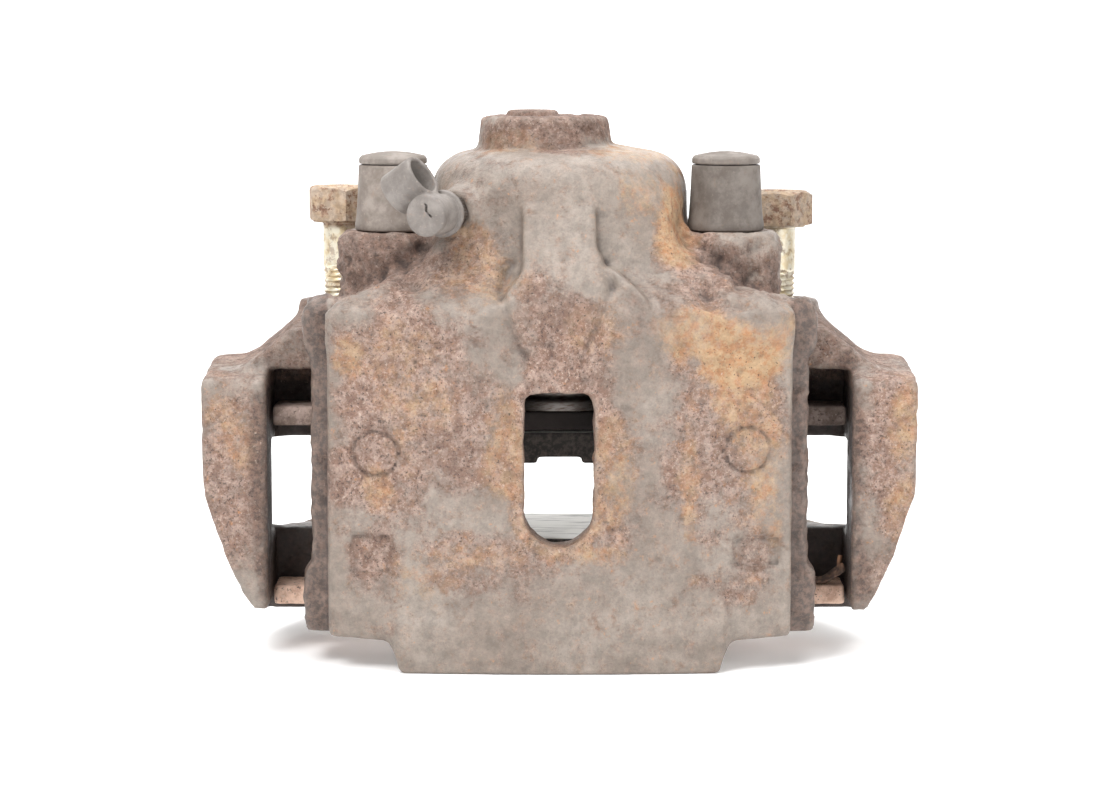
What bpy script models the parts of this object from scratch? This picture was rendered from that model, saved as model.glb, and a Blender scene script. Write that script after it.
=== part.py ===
"""Floating single-piston brake caliper with its carrier bracket, brake pads and mounting bolts.

Sizes are in millimetres and become metres where a mesh is made. +Z is the piston axis and points
inboard, -Y points away from the wheel hub, and X runs along the rim of the disc. The caliper stands
on its outboard fingers at Z = 0, with the piston axis through X = Y = 0.
"""

import math

import bmesh
import bpy
from mathutils import Matrix, Vector

MM = 0.001
GAP = 0.3
INSET = 0.5  # keeps a lump's faces out of its neighbours' planes
SIDES = (("left", -1), ("right", 1))
UP = Vector((0, 0, 1))

# Brake disc: only its clearance shapes the castings
DISC_AXIS_Y = 110.0
DISC_CLEARANCE_R = 142.0
BRIDGE_UNDERSIDE_R = 144.0

# Heights from the floor
FINGER_TOP = 13.0
PLATE = 5.5
OUTER_FRICTION_TOP = 34.3
INNER_FRICTION_BOTTOM = 55.6
INNER_PLATE_BOTTOM = 65.0
PISTON_RIM = INNER_PLATE_BOTTOM + PLATE + GAP
CYLINDER_MOUTH = 80.0
BORE_END = 129.0
CYLINDER_SHOULDER = 137.0
CYLINDER_TOP = 146.0
BOSS_TOP = 153.0
PORT_FACE = 154.7

# Housing
BRIDGE_FRONT = -48.0
BRIDGE_HALF = 64.5
BRIDGE_CORNER_Y = -40.0
STRIP_HALF = 71.3
STRIP_WAIST = 69.0
CYLINDER_R = 36.5
BORE_R = 27.0
BOOT_SEAT_R = 31.0
BOOT_SEAT_DEPTH = 4.0
SEAL_Z = 88.0
SEAL_HEIGHT = 4.0
SEAL_R = 30.5
BOSS_X = -4.2
BOSS_R = 18.2
PORT_X = -7.7
PORT_R = 4.25
WINDOW_X = -0.25
WINDOW_HALF = 9.55
WINDOW_BOTTOM = 35.4
WINDOW_SHOULDER = 45.0
WINDOW_TOP = 78.0
FINGER_END = 24.0
FINGER_HALF = 44.3
FINGER_SLOT_R = 15.0

# Guide bushes and pins
GUIDE_X = 47.3
GUIDE_Y = -8.0
EAR_R = 14.5
EAR_BOTTOM = 101.7
EAR_TOP = 120.5
EAR_BORE_R = 8.3
EAR_SPOT_LOW_R = 10.6
EAR_SPOT_HIGH_R = 11.3
BUSH_FOOT = 99.3
BUSH_FLANGE_R = 10.0
BUSH_NECK_R = 8.0
BUSH_LOW_R = 10.8
BUSH_TOP_R = 9.9
BUSH_TOP = 136.0
BUSH_CAVITY_R = 6.8
BUSH_CAVITY_Z = 112.0
CAP_TOP = 143.4
CAP_SPIGOT = 133.5
PIN_R = 4.5
PIN_THREAD_R = 3.6
PIN_HEAD_R = 6.4
PIN_HEAD_Z = 121.0
PIN_HEAD_HEIGHT = 6.0

# Carrier bracket
ARM_INNER = 82.6
ARM_OUTER = 101.0
ARM_FRONT = -24.0
ARM_BACK = 12.0
ARM_FOOT = 14.3
ARM_TOP = 84.0
SHOULDER_X = 79.0
BLOCK_FOOT = 9.0
ABUTMENT_INNER = 67.0
LEDGE_Y = 5.3
CARRIER_BACK = 47.7
BEAM_FRONT = 38.5
SLOT_LOW = 33.5
SLOT_HIGH = 59.5
DECK_LOW = 81.0
DECK_FRONT = -13.5
DECK_TOP = 93.0
LUG_TOP = 98.0
LUG_R = 13.0
BOLT_X = 64.0
BOLT_Y = 30.0

# M12 mounting bolts, part screwed in
BOLT_R = 5.9
BOLT_HOLE_R = 6.2
BOLT_HEAD_AF = 19.0
BOLT_HEAD_HEIGHT = 10.5
BOLT_HEAD_Z = {"left": 121.0, "right": 119.5}
BOLT_LENGTH = 38.0

# Pads
PAD_OUTER_Y = -24.0
PAD_INNER_Y = 27.0
EAR_HALF = 82.0
EAR_FRONT = -12.0
EAR_BACK = 5.0
LINING_SLOT_HALF = 6.2
LINING_SLOT_DEPTH = 1.8
CLIP_T = 1.2

# Bleed screw and its dust cap
BLEED_BASE = Vector((-24.0, -16.0, 127.0))
BLEED_ALONG = Vector((-0.4, -math.sqrt(1 - 0.4**2), 0.0))
BLEED_BOSS_END = 14.0
BLEED_SPOT_R = 8.0
BLEED_HEX_AF = 9.0
BLEED_HEX_END = 19.0
BLEED_CAP_START = 20.4
BLEED_CAP_END = 32.4
BLEED_CAP_BORE_R = 3.6
LOOP_CENTRE = Vector((-41.5, -37.0, 134.8))
LOOP_TILT = math.radians(31)
LOOP_LONG_R = 6.6
LOOP_SHORT_R = 4.8
LOOP_HALF = 6.0


def clear_scene():
    for thing in list(bpy.data.objects):
        bpy.data.objects.remove(thing, do_unlink=True)


def principled(name, colour, roughness, metallic=0.0):
    material = bpy.data.materials.new(name)
    material.use_nodes = True
    shader = material.node_tree.nodes["Principled BSDF"]
    shader.inputs["Base Color"].default_value = (*colour, 1)
    shader.inputs["Roughness"].default_value = roughness
    shader.inputs["Metallic"].default_value = metallic
    material.diffuse_color = (*colour, 1)
    return material


def turning(along):
    """The rotation that takes +Z to the direction."""
    return UP.rotation_difference(Vector(along).normalized()).to_matrix().to_4x4()


def finish(name, mesh, material, at=(0, 0, 0), along=UP):
    """Makes the object of a mesh in millimetres, standing at a point and turned to a direction."""
    bmesh.ops.recalc_face_normals(mesh, faces=mesh.faces)
    bmesh.ops.scale(mesh, vec=(MM, MM, MM), verts=mesh.verts)
    data = bpy.data.meshes.new(name)
    mesh.to_mesh(data)
    mesh.free()
    thing = bpy.data.objects.new(name, data)
    bpy.context.scene.collection.objects.link(thing)
    thing.matrix_world = Matrix.Translation(Vector(at) * MM) @ turning(along)
    if material is None:
        thing.hide_render = True
        thing.display_type = "WIRE"
    else:
        data.materials.append(material)
        data.shade_smooth()
        data.set_sharp_from_angle(angle=math.radians(35))
    return thing


def circle(radius, steps, centre=(0, 0), start=0.0, end=math.tau):
    """Points of an arc. A whole circle leaves out its last point, which is its first."""
    whole = abs(end - start - math.tau) < 1e-6
    last = steps if whole else steps + 1
    angles = [start + (end - start) * i / steps for i in range(last)]
    return [(centre[0] + radius * math.cos(a), centre[1] + radius * math.sin(a)) for a in angles]


def turned(name, profile, material=None, steps=36, at=(0, 0, 0), along=UP):
    """A turned piece. Its profile of (radius, height) is open from axis to axis, or a closed ring."""
    mesh = bmesh.new()
    rings = []
    for radius, height in profile:
        if radius == 0:
            rings.append([mesh.verts.new((0, 0, height))] * steps)
        else:
            rings.append([mesh.verts.new((x, y, height)) for x, y in circle(radius, steps)])
    is_ring = profile[0][0] != 0
    for i in range(len(rings) if is_ring else len(rings) - 1):
        lower, upper = rings[i], rings[(i + 1) % len(rings)]
        for j in range(steps):
            k = (j + 1) % steps
            corners = dict.fromkeys((lower[j], lower[k], upper[k], upper[j]))
            mesh.faces.new(list(corners))
    return finish(name, mesh, material, at, along)


def prism(name, outline, low, high, material=None, at=(0, 0, 0), along=UP, bevel=0.0):
    """An outline extruded along Z, or along Y when `along` is "y" and the outline is (x, z)."""
    mesh = bmesh.new()
    if along == "y":
        points = [(x, low, z) for x, z in outline]
        reach = (0, high - low, 0)
    else:
        points = [(x, y, low) for x, y in outline]
        reach = (0, 0, high - low)
    face = mesh.faces.new([mesh.verts.new(p) for p in points])
    made = bmesh.ops.extrude_face_region(mesh, geom=[face])["geom"]
    moved = [v for v in made if isinstance(v, bmesh.types.BMVert)]
    bmesh.ops.translate(mesh, vec=reach, verts=moved)
    if bevel:
        bmesh.ops.recalc_face_normals(mesh, faces=mesh.faces)
        bmesh.ops.bevel(mesh, geom=list(mesh.edges), offset=bevel, segments=1, affect="EDGES")
    return finish(name, mesh, material, at, UP if along == "y" else along)


def hull(name, points, material=None):
    """The convex lump round a set of points."""
    mesh = bmesh.new()
    for point in points:
        mesh.verts.new(point)
    made = bmesh.ops.convex_hull(mesh, input=mesh.verts)
    spare = {v for v in made["geom_interior"] if isinstance(v, bmesh.types.BMVert)}
    bmesh.ops.delete(mesh, geom=list(spare), context="VERTS")
    return finish(name, mesh, material)


def level(outline, height):
    return [(x, y, height) for x, y in outline]


def box(x0, x1, y0, y1):
    return [(x0, y0), (x1, y0), (x1, y1), (x0, y1)]


def combine(thing, other, operation):
    modifier = thing.modifiers.new(operation.lower() + "_" + other.name, "BOOLEAN")
    modifier.operation = operation
    modifier.object = other


def mirror_x(outline):
    """The whole outline from its right half, which runs from the axis round to the axis."""
    return outline + [(-x, y) for x, y in reversed(outline)]


def hexagon(across_flats):
    return circle(across_flats / math.sqrt(3), 6)


def arc_y(radius, x):
    """Y of the disc-side arc of this radius at x."""
    return DISC_AXIS_Y - math.sqrt(radius**2 - x**2)


def bleed_point(distance):
    return BLEED_BASE + BLEED_ALONG * distance


# Caliper housing


def bridge_section():
    """The bridge seen along the piston: a crowned outside, stepped side strips and a disc-side arc."""
    crown = BRIDGE_CORNER_Y - BRIDGE_FRONT
    radius = (BRIDGE_HALF**2 + crown**2) / (2 * crown)
    centre_y = BRIDGE_FRONT + radius
    outside = [
        (x, centre_y - math.sqrt(radius**2 - x**2))
        for x in (BRIDGE_HALF * i / 5 for i in range(1, 6))
    ]
    side = [(BRIDGE_HALF, -34.0), (STRIP_HALF, -31.5)]
    underside = [
        (x, arc_y(BRIDGE_UNDERSIDE_R, x)) for x in (STRIP_HALF * (6 - i) / 6 for i in range(6))
    ]
    return mirror_x(outside + side + underside)


def bridge_front():
    """The bridge seen from outside: side strips with a waist, and a deeper foot in the middle."""
    right = [(40.0, 0.0), (43.6, 2.0), (46.0, 6.0), (50.0, 9.0), (69.3, 10.2), (STRIP_HALF, 12.5)]
    right += [(STRIP_HALF, 25.5), (STRIP_WAIST, 29.5), (STRIP_WAIST, 86.0), (STRIP_HALF, 91.0)]
    right += [(STRIP_HALF, 99.0), (68.0, 103.0), (60.0, 104.5)]
    return mirror_x(right)


def window_outline():
    """Square-topped with rounded corners, and closed below by half an ellipse."""
    corner = 3.0
    inner = WINDOW_HALF - corner
    top = WINDOW_TOP - corner
    points = []
    points += circle(corner, 3, (WINDOW_X + inner, top), 0, math.pi / 2)
    points += circle(corner, 3, (WINDOW_X - inner, top), math.pi / 2, math.pi)
    depth = WINDOW_SHOULDER - WINDOW_BOTTOM
    for i in range(9):
        angle = math.pi + math.pi * i / 8
        x = WINDOW_X + WINDOW_HALF * math.cos(angle)
        points.append((x, WINDOW_SHOULDER + depth * math.sin(angle)))
    return points


def finger_outline():
    """Two fingers with a round-ended slot between them."""
    right = [(FINGER_HALF, -40.0), (FINGER_HALF, 2.0), (40.0, 15.0), (32.0, 22.0)]
    right += [(24.0, FINGER_END), (FINGER_SLOT_R, FINGER_END - 1)]
    slot = circle(FINGER_SLOT_R, 5, (0, -2.0), 0, -math.pi / 2)[:-1]
    return mirror_x(right + slot)


def make_housing(material):
    housing = prism("caliper_housing", bridge_section(), -1.0, 106.0, material)
    combine(housing, prism("bridge_front_shape", bridge_front(), -60, 0, along="y"), "INTERSECT")
    body = [(0, CYLINDER_MOUTH), (CYLINDER_R, CYLINDER_MOUTH), (CYLINDER_R, CYLINDER_SHOULDER - 3)]
    body += [(CYLINDER_R - 3, CYLINDER_SHOULDER + 2), (20, CYLINDER_TOP), (0, CYLINDER_TOP)]
    boss = [(0, 134), (BOSS_R + 1.8, 134), (BOSS_R + 1.2, CYLINDER_TOP)]
    boss += [(BOSS_R, BOSS_TOP - 1), (BOSS_R - 1, BOSS_TOP), (0, BOSS_TOP)]
    port = [(0, BOSS_TOP - 2), (7.6, BOSS_TOP - 2), (7.4, PORT_FACE), (0, PORT_FACE)]
    flare = level(box(-62, 62, -45, -18), 96) + level(box(-60, 60, -44, -18), 103.5)
    flare += level(box(-29, 29, -26, -12), 117) + level(box(-22, 22, -25, -12), 129)
    rib = level(box(-10, 10, -35.5, -20), 129) + level(box(-11, 11, -39, -20), 121)
    rib += level(box(-19, 19, -46.5, -20), 100)
    lumps = [
        turned("cylinder_shape", body, steps=48),
        turned("hose_boss_shape", boss, steps=36, at=(BOSS_X, 0, 0)),
        turned("port_face_shape", port, steps=24, at=(PORT_X, 0, 0)),
        hull("flare_shape", flare),
        hull("rib_shape", rib),
        prism("finger_shape", finger_outline(), 0, FINGER_TOP),
        turned("bleed_boss_shape", [(0, -2), (7, -2), (6.4, BLEED_BOSS_END), (0, BLEED_BOSS_END)],
               steps=20, at=BLEED_BASE, along=BLEED_ALONG),
    ]
    for side, sign in SIDES:
        eye = circle(EAR_R, 18, (sign * GUIDE_X, GUIDE_Y))
        root = box(sign * 24, sign * 30, GUIDE_Y - EAR_R, GUIDE_Y + EAR_R + 2)
        points = level(eye, EAR_BOTTOM) + level(eye, EAR_TOP)
        points += level(root, EAR_BOTTOM) + level(root, EAR_TOP)
        lumps.append(hull(f"ear_shape_{side}", points))
    for lump in lumps:
        combine(housing, lump, "UNION")
    groove_r = SEAL_R + GAP
    groove = (SEAL_Z - GAP, SEAL_Z + SEAL_HEIGHT + GAP)
    seat = CYLINDER_MOUTH + BOOT_SEAT_DEPTH
    bore = [(0, CYLINDER_MOUTH - 2), (BOOT_SEAT_R, CYLINDER_MOUTH - 2), (BOOT_SEAT_R, seat)]
    bore += [(BORE_R, seat), (BORE_R, groove[0]), (groove_r, groove[0]), (groove_r, groove[1])]
    bore += [(BORE_R, groove[1]), (BORE_R, BORE_END), (0, BORE_END)]
    port_hole = [(0, BORE_END - 1), (2, BORE_END - 1), (2, 141), (PORT_R, 143)]
    port_hole += [(PORT_R, PORT_FACE + 1), (0, PORT_FACE + 1)]
    bleed_hole = [(0, -8), (1.5, -8), (1.5, 2), (3.9, 4), (3.9, BLEED_BOSS_END + 1)]
    bleed_hole += [(0, BLEED_BOSS_END + 1)]
    spot_face = [(0, BLEED_BOSS_END), (BLEED_SPOT_R, BLEED_BOSS_END), (BLEED_SPOT_R, 40), (0, 40)]
    cutters = [
        turned("bore_cutter", bore, steps=48),
        turned("port_cutter", port_hole, steps=20, at=(PORT_X, 0, 0)),
        turned("bleed_cutter", bleed_hole, steps=16, at=BLEED_BASE, along=BLEED_ALONG),
        turned("bleed_spot_face", spot_face, steps=20, at=BLEED_BASE, along=BLEED_ALONG),
        prism("window_cutter", window_outline(), -60, -20, along="y"),
    ]
    for side, sign in SIDES:
        eye = [(0, 90), (EAR_SPOT_LOW_R, 90), (EAR_SPOT_LOW_R, EAR_BOTTOM), (EAR_BORE_R, EAR_BOTTOM)]
        eye += [(EAR_BORE_R, EAR_TOP), (EAR_SPOT_HIGH_R, EAR_TOP), (EAR_SPOT_HIGH_R, 140), (0, 140)]
        cutters.append(turned(f"ear_cutter_{side}", eye, steps=24, at=(sign * GUIDE_X, GUIDE_Y, 0)))
    for cutter in cutters:
        combine(housing, cutter, "DIFFERENCE")


# Carrier bracket


def arm_front():
    """The right arm seen from outside: a rounded upper corner and a long taper to the foot."""
    return [
        (ARM_INNER, ARM_FOOT), (86.5, ARM_FOOT), (89.2, 18.5), (94.3, 29.5), (99.8, 46.5),
        (ARM_OUTER, 60.0), (ARM_OUTER, 79.0), (100.0, 82.3), (97.5, ARM_TOP), (ARM_INNER, ARM_TOP),
    ]


def make_carrier(material):
    back = box(-77.0, 77.0, BEAM_FRONT, CARRIER_BACK)
    carrier = prism("carrier_bracket", back, 62.0, DECK_TOP, material)
    low_back = box(-75.0, 75.0, BEAM_FRONT, CARRIER_BACK - 2)
    lumps = [prism("outboard_tie_shape", low_back, 17.0, SLOT_LOW)]
    for side, sign in SIDES:
        arm = [(sign * x, z) for x, z in arm_front()]
        lumps.append(prism(f"arm_shape_{side}", arm, ARM_FRONT, ARM_BACK, along="y"))
        low = [(ABUTMENT_INNER, LEDGE_Y), (92, LEDGE_Y), (92, 12), (78, CARRIER_BACK - 2)]
        low += [(ABUTMENT_INNER, CARRIER_BACK - 2)]
        low = [(sign * x, y) for x, y in low]
        lumps.append(prism(f"outboard_block_shape_{side}", low, BLOCK_FOOT, SLOT_LOW))
        high = [(ABUTMENT_INNER, LEDGE_Y), (95, LEDGE_Y), (93, 18), (80, CARRIER_BACK)]
        high += [(ABUTMENT_INNER, CARRIER_BACK)]
        high = [(sign * x, y) for x, y in high]
        lumps.append(prism(f"inboard_block_shape_{side}", high, SLOT_HIGH, ARM_TOP))
        deck = [(39.0, 0.0), (40.5, DECK_FRONT), (SHOULDER_X, DECK_FRONT)]
        deck += [(SHOULDER_X, CARRIER_BACK), (44.0, CARRIER_BACK), (39.0, BEAM_FRONT)]
        deck = [(sign * x, y) for x, y in deck]
        lumps.append(prism(f"deck_shape_{side}", deck, DECK_LOW, DECK_TOP))
        near, far = DECK_FRONT + INSET, CARRIER_BACK - INSET
        top = [(sign * x, y) for x, y in box(70.0, SHOULDER_X - INSET, near, far)]
        root = [(sign * x, y) for x, y in ((70, near), (91, near), (91, 25), (80.5, far), (70, far))]
        slope = level(top, DECK_TOP - INSET) + level(root, ARM_TOP - INSET)
        slope += level(root, DECK_LOW + INSET)
        lumps.append(hull(f"shoulder_shape_{side}", slope))
        pad = circle(7.5, 16, (sign * GUIDE_X, GUIDE_Y))
        lumps.append(prism(f"pin_pad_shape_{side}", pad, DECK_LOW, DECK_TOP))
        lug = level(circle(LUG_R, 20, (sign * BOLT_X, BOLT_Y)), LUG_TOP)
        lug += level(circle(LUG_R + 2, 20, (sign * BOLT_X, BOLT_Y)), DECK_LOW)
        lumps.append(hull(f"lug_shape_{side}", lug))
    for lump in lumps:
        combine(carrier, lump, "UNION")
    disc = [(0, SLOT_LOW), (DISC_CLEARANCE_R, SLOT_LOW), (DISC_CLEARANCE_R, SLOT_HIGH), (0, SLOT_HIGH)]
    cutters = [turned("disc_clearance", disc, steps=96, at=(0, DISC_AXIS_Y, 0))]
    for side, sign in SIDES:
        hole = [(0, 60), (BOLT_HOLE_R, 60), (BOLT_HOLE_R, 110), (0, 110)]
        cutters.append(turned(f"bolt_hole_{side}", hole, steps=24, at=(sign * BOLT_X, BOLT_Y, 0)))
        hole = [(0, 70), (PIN_THREAD_R + GAP, 70), (PIN_THREAD_R + GAP, 110), (0, 110)]
        cutters.append(turned(f"pin_hole_{side}", hole, steps=20, at=(sign * GUIDE_X, GUIDE_Y, 0)))
    for cutter in cutters:
        combine(carrier, cutter, "DIFFERENCE")


# Guides


def make_guides(rubber, plastic, steel):
    flange = EAR_BOTTOM - GAP
    seat = EAR_TOP + GAP
    bush = [(PIN_R + GAP, BUSH_FOOT), (BUSH_FLANGE_R, BUSH_FOOT), (BUSH_FLANGE_R, flange)]
    bush += [(BUSH_NECK_R, flange)]
    bush += [(BUSH_NECK_R, seat), (BUSH_LOW_R, seat), (BUSH_LOW_R, seat + 2), (BUSH_TOP_R, BUSH_TOP)]
    bush += [(BUSH_CAVITY_R, BUSH_TOP), (BUSH_CAVITY_R, BUSH_CAVITY_Z), (PIN_R + GAP, BUSH_CAVITY_Z)]
    rim = BUSH_TOP + GAP
    spigot = BUSH_CAVITY_R - GAP
    cap = [(0, CAP_SPIGOT), (spigot, CAP_SPIGOT), (spigot, rim), (BUSH_TOP_R, rim)]
    cap += [(BUSH_TOP_R, 140.6), (9.2, 142.2), (7.0, 143.0), (3.0, CAP_TOP), (0, CAP_TOP)]
    deck = DECK_TOP + GAP
    head_top = PIN_HEAD_Z + PIN_HEAD_HEIGHT
    pin = [(0, DECK_LOW + 0.5), (PIN_THREAD_R, DECK_LOW + 0.5), (PIN_THREAD_R, deck), (PIN_R, deck)]
    pin += [(PIN_R, PIN_HEAD_Z), (PIN_HEAD_R, PIN_HEAD_Z), (PIN_HEAD_R, head_top), (0, head_top)]
    for side, sign in SIDES:
        place = (sign * GUIDE_X, GUIDE_Y, 0)
        turned(f"guide_bush_{side}", bush, rubber, steps=28, at=place)
        turned(f"bush_cap_{side}", cap, plastic, steps=28, at=place)
        guide = turned(f"guide_pin_{side}", pin, steel, steps=24, at=place)
        socket = prism(f"socket_cutter_{side}", hexagon(7.0), head_top - 4, head_top + 1, at=place)
        combine(guide, socket, "DIFFERENCE")


def make_bolts(steel):
    for side, sign in SIDES:
        seat = BOLT_HEAD_Z[side]
        shank = [(0, seat - BOLT_LENGTH), (BOLT_R - 1, seat - BOLT_LENGTH)]
        shank += [(BOLT_R, seat - BOLT_LENGTH + 1.5), (BOLT_R, seat + 2), (0, seat + 2)]
        place = (sign * BOLT_X, BOLT_Y, 0)
        bolt = turned(f"mounting_bolt_{side}", shank, steel, steps=24, at=place)
        head = prism(f"bolt_head_shape_{side}", hexagon(BOLT_HEAD_AF), seat, seat + BOLT_HEAD_HEIGHT,
                     at=place)
        combine(bolt, head, "UNION")
        dish = [(0, seat + BOLT_HEAD_HEIGHT - 1), (6.5, seat + BOLT_HEAD_HEIGHT - 1)]
        dish += [(8.0, seat + BOLT_HEAD_HEIGHT + 1), (0, seat + BOLT_HEAD_HEIGHT + 1)]
        combine(bolt, turned(f"bolt_dish_{side}", dish, steps=24, at=place), "DIFFERENCE")


# Piston and its rubber parts


def make_piston(steel, rubber):
    outer = BORE_R - GAP
    end = BORE_END - 7.5
    wall = 21.0
    cup = [(0, end), (outer - 1.5, end), (outer, end - 1.5), (outer, PISTON_RIM + 8)]
    cup += [(outer - 2, PISTON_RIM + 7), (outer - 2, PISTON_RIM + 4), (outer, PISTON_RIM + 3)]
    cup += [(outer, PISTON_RIM), (wall, PISTON_RIM), (wall, end - 11), (0, end - 9)]
    turned("piston", list(reversed(cup)), steel, steps=48)
    inner = BORE_R
    seal = [(inner, SEAL_Z), (SEAL_R, SEAL_Z), (SEAL_R, SEAL_Z + SEAL_HEIGHT)]
    seal += [(inner, SEAL_Z + SEAL_HEIGHT)]
    turned("piston_seal", seal, rubber, steps=48)
    seat = CYLINDER_MOUTH
    boot = [(inner, seat - 3.8), (28.2, seat - 3.8), (28.6, seat - 3), (30.2, seat - 2.5)]
    boot += [(30.4, seat - 1.5), (29.0, seat - 0.9), (30.7, seat), (30.7, seat + 3.7), (inner, seat + 3.7)]
    turned("piston_dust_boot", boot, rubber, steps=48)


# Pads


def plate_outline():
    """A pad's backing plate: an ear each side that rests on the carrier's ledge."""
    right = [(40.0, PAD_OUTER_Y), (52.0, -21.0), (64.0, EAR_FRONT - 3), (67.0, EAR_FRONT)]
    right += [(EAR_HALF - 1, EAR_FRONT), (EAR_HALF, EAR_FRONT + 1), (EAR_HALF, EAR_BACK)]
    right += [(66.4, EAR_BACK), (66.4, 14.0), (60.0, 24.0), (52.0, PAD_INNER_Y)]
    return mirror_x(right)


def friction_outline():
    """A pad's lining, seen along the piston's axis."""
    right = [(8.0, PAD_OUTER_Y + 1), (38.0, PAD_OUTER_Y + 1), (51.0, -20.0), (58.0, -14.0)]
    right += [(60.0, 8.0), (56.0, 20.0), (48.0, PAD_INNER_Y - 1)]
    return mirror_x(right)


def make_pads(iron, lining, steel):
    low = FINGER_TOP + GAP
    prism("outer_pad_plate", plate_outline(), low, low + PLATE, iron)
    prism("outer_pad_friction", friction_outline(), low + PLATE + GAP, OUTER_FRICTION_TOP, lining)
    prism("inner_pad_plate", plate_outline(), INNER_PLATE_BOTTOM, INNER_PLATE_BOTTOM + PLATE, iron)
    inner = prism("inner_pad_friction", friction_outline(), INNER_FRICTION_BOTTOM,
                  INNER_PLATE_BOTTOM - GAP, lining)
    slot = prism("lining_slot_cutter", box(-LINING_SLOT_HALF, LINING_SLOT_HALF, -40, 40),
                 INNER_FRICTION_BOTTOM - 1, INNER_FRICTION_BOTTOM + LINING_SLOT_DEPTH)
    combine(inner, slot, "DIFFERENCE")
    base = PISTON_RIM
    hub = circle(9.0, 18)
    clip = prism("inner_pad_clip", hub, base, base + CLIP_T, steel)
    leaf = [(0, 0), (12, 0), (18.5, 6), (20.2, 12), (19.0, 16), (18.0, 15.6), (19.0, 12), (17.6, 6.8)]
    leaf += [(11.5, CLIP_T), (0, CLIP_T)]
    for i in range(3):
        arm = prism(f"clip_leaf_shape_{i}", [(x, base + z) for x, z in leaf], -4, 4, along="y")
        arm.rotation_euler = (0, 0, math.tau * i / 3 + math.pi / 2)
        combine(clip, arm, "UNION")


def make_wear_strip(iron):
    """The broken end of a thin pad spring, left on the outer pad's right ear."""
    top = FINGER_TOP + PLATE + 2 * GAP
    foot = [(70.5, top), (80.0, top), (80.6, top + 3.5), (81.6, top + 8), (80.4, top + 8.2)]
    foot += [(79.3, top + 4), (78.6, top + 1.6), (70.5, top + 1.2)]
    prism("pad_spring_remnant", foot, EAR_FRONT + 1.5, EAR_FRONT + 5.5, iron, along="y")


# Bleed screw


def make_bleeder(steel, rubber):
    shank = [(0, 4.6), (3.6, 4.6), (3.6, BLEED_BOSS_END + 1), (4.5, BLEED_BOSS_END + 1)]
    shank += [(4.5, 19.5), (2.9, 20.5), (2.9, 23.0), (3.3, 24.5), (3.3, 26.0), (2.7, 28.5), (0, 28.5)]
    screw = turned("bleed_screw", shank, steel, steps=20, at=BLEED_BASE, along=BLEED_ALONG)
    flats = prism("bleed_hex_shape", hexagon(BLEED_HEX_AF), BLEED_BOSS_END + GAP, BLEED_HEX_END,
                  at=BLEED_BASE, along=BLEED_ALONG)
    combine(screw, flats, "UNION")
    start, end = BLEED_CAP_START, BLEED_CAP_END
    cap = [(BLEED_CAP_BORE_R, start), (5.2, start), (5.7, start + 0.6), (5.5, end - 3.4)]
    cap += [(5.9, end - 2.4), (5.9, end - 0.8), (5.2, end), (0, end)]
    inside = [(0, end - 3.2), (BLEED_CAP_BORE_R, end - 3.2)]
    cover = turned("bleed_cap", inside + cap, rubber, steps=24, at=BLEED_BASE, along=BLEED_ALONG)
    outside = [
        (LOOP_LONG_R * math.cos(a), LOOP_SHORT_R * math.sin(a))
        for a in (math.tau * i / 20 for i in range(20))
    ]
    inside = [(x * 0.78, y * 0.7) for x, y in outside]
    along = Vector((math.cos(LOOP_TILT), 0, math.sin(LOOP_TILT)))
    loop = prism("loop_shape", outside, -LOOP_HALF, LOOP_HALF, at=LOOP_CENTRE, along=along)
    hole = prism("loop_cutter", inside, -LOOP_HALF - 1, LOOP_HALF + 1, at=LOOP_CENTRE, along=along)
    neck = hull("loop_neck_shape", neck_points())
    combine(cover, neck, "UNION")
    combine(cover, loop, "UNION")
    combine(cover, hole, "DIFFERENCE")


def neck_points():
    """The web that joins the bleed cap's barrel to its strap loop."""
    across = Vector((0, 0, 1))
    points = []
    for distance in (21.5, 28.0):
        start = bleed_point(distance)
        for rise in (4.4, 7.6):
            for lean in (-2.5, 1.0):
                points.append(start + across * rise + Vector((lean, 0, 0)))
    return [tuple(p) for p in points]


def main():
    clear_scene()
    iron = principled("rusty_cast_iron", (0.23, 0.17, 0.13), 0.85, 0.25)
    plate = principled("rusty_steel_plate", (0.33, 0.19, 0.13), 0.85, 0.2)
    lining = principled("friction_lining", (0.16, 0.15, 0.14), 0.9)
    rubber = principled("grey_rubber", (0.16, 0.15, 0.14), 0.75)
    plastic = principled("dust_cap_plastic", (0.18, 0.17, 0.16), 0.6)
    zinc = principled("yellow_zinc_steel", (0.5, 0.43, 0.3), 0.5, 0.8)
    steel = principled("bright_steel", (0.55, 0.55, 0.54), 0.35, 1.0)
    make_housing(iron)
    make_carrier(iron)
    make_guides(rubber, plastic, steel)
    make_bolts(zinc)
    make_piston(steel, rubber)
    make_pads(plate, lining, steel)
    make_wear_strip(plate)
    make_bleeder(steel, rubber)


main()
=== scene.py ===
"""A worn floating brake caliper on a pale studio floor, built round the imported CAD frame.

Castings, pads and the bleed cap are modelled as signed distance fields in millimetres and meshed
here, so that their edges blend as cast metal does. Turned pieces come from their profiles.
"""

import math

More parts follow.
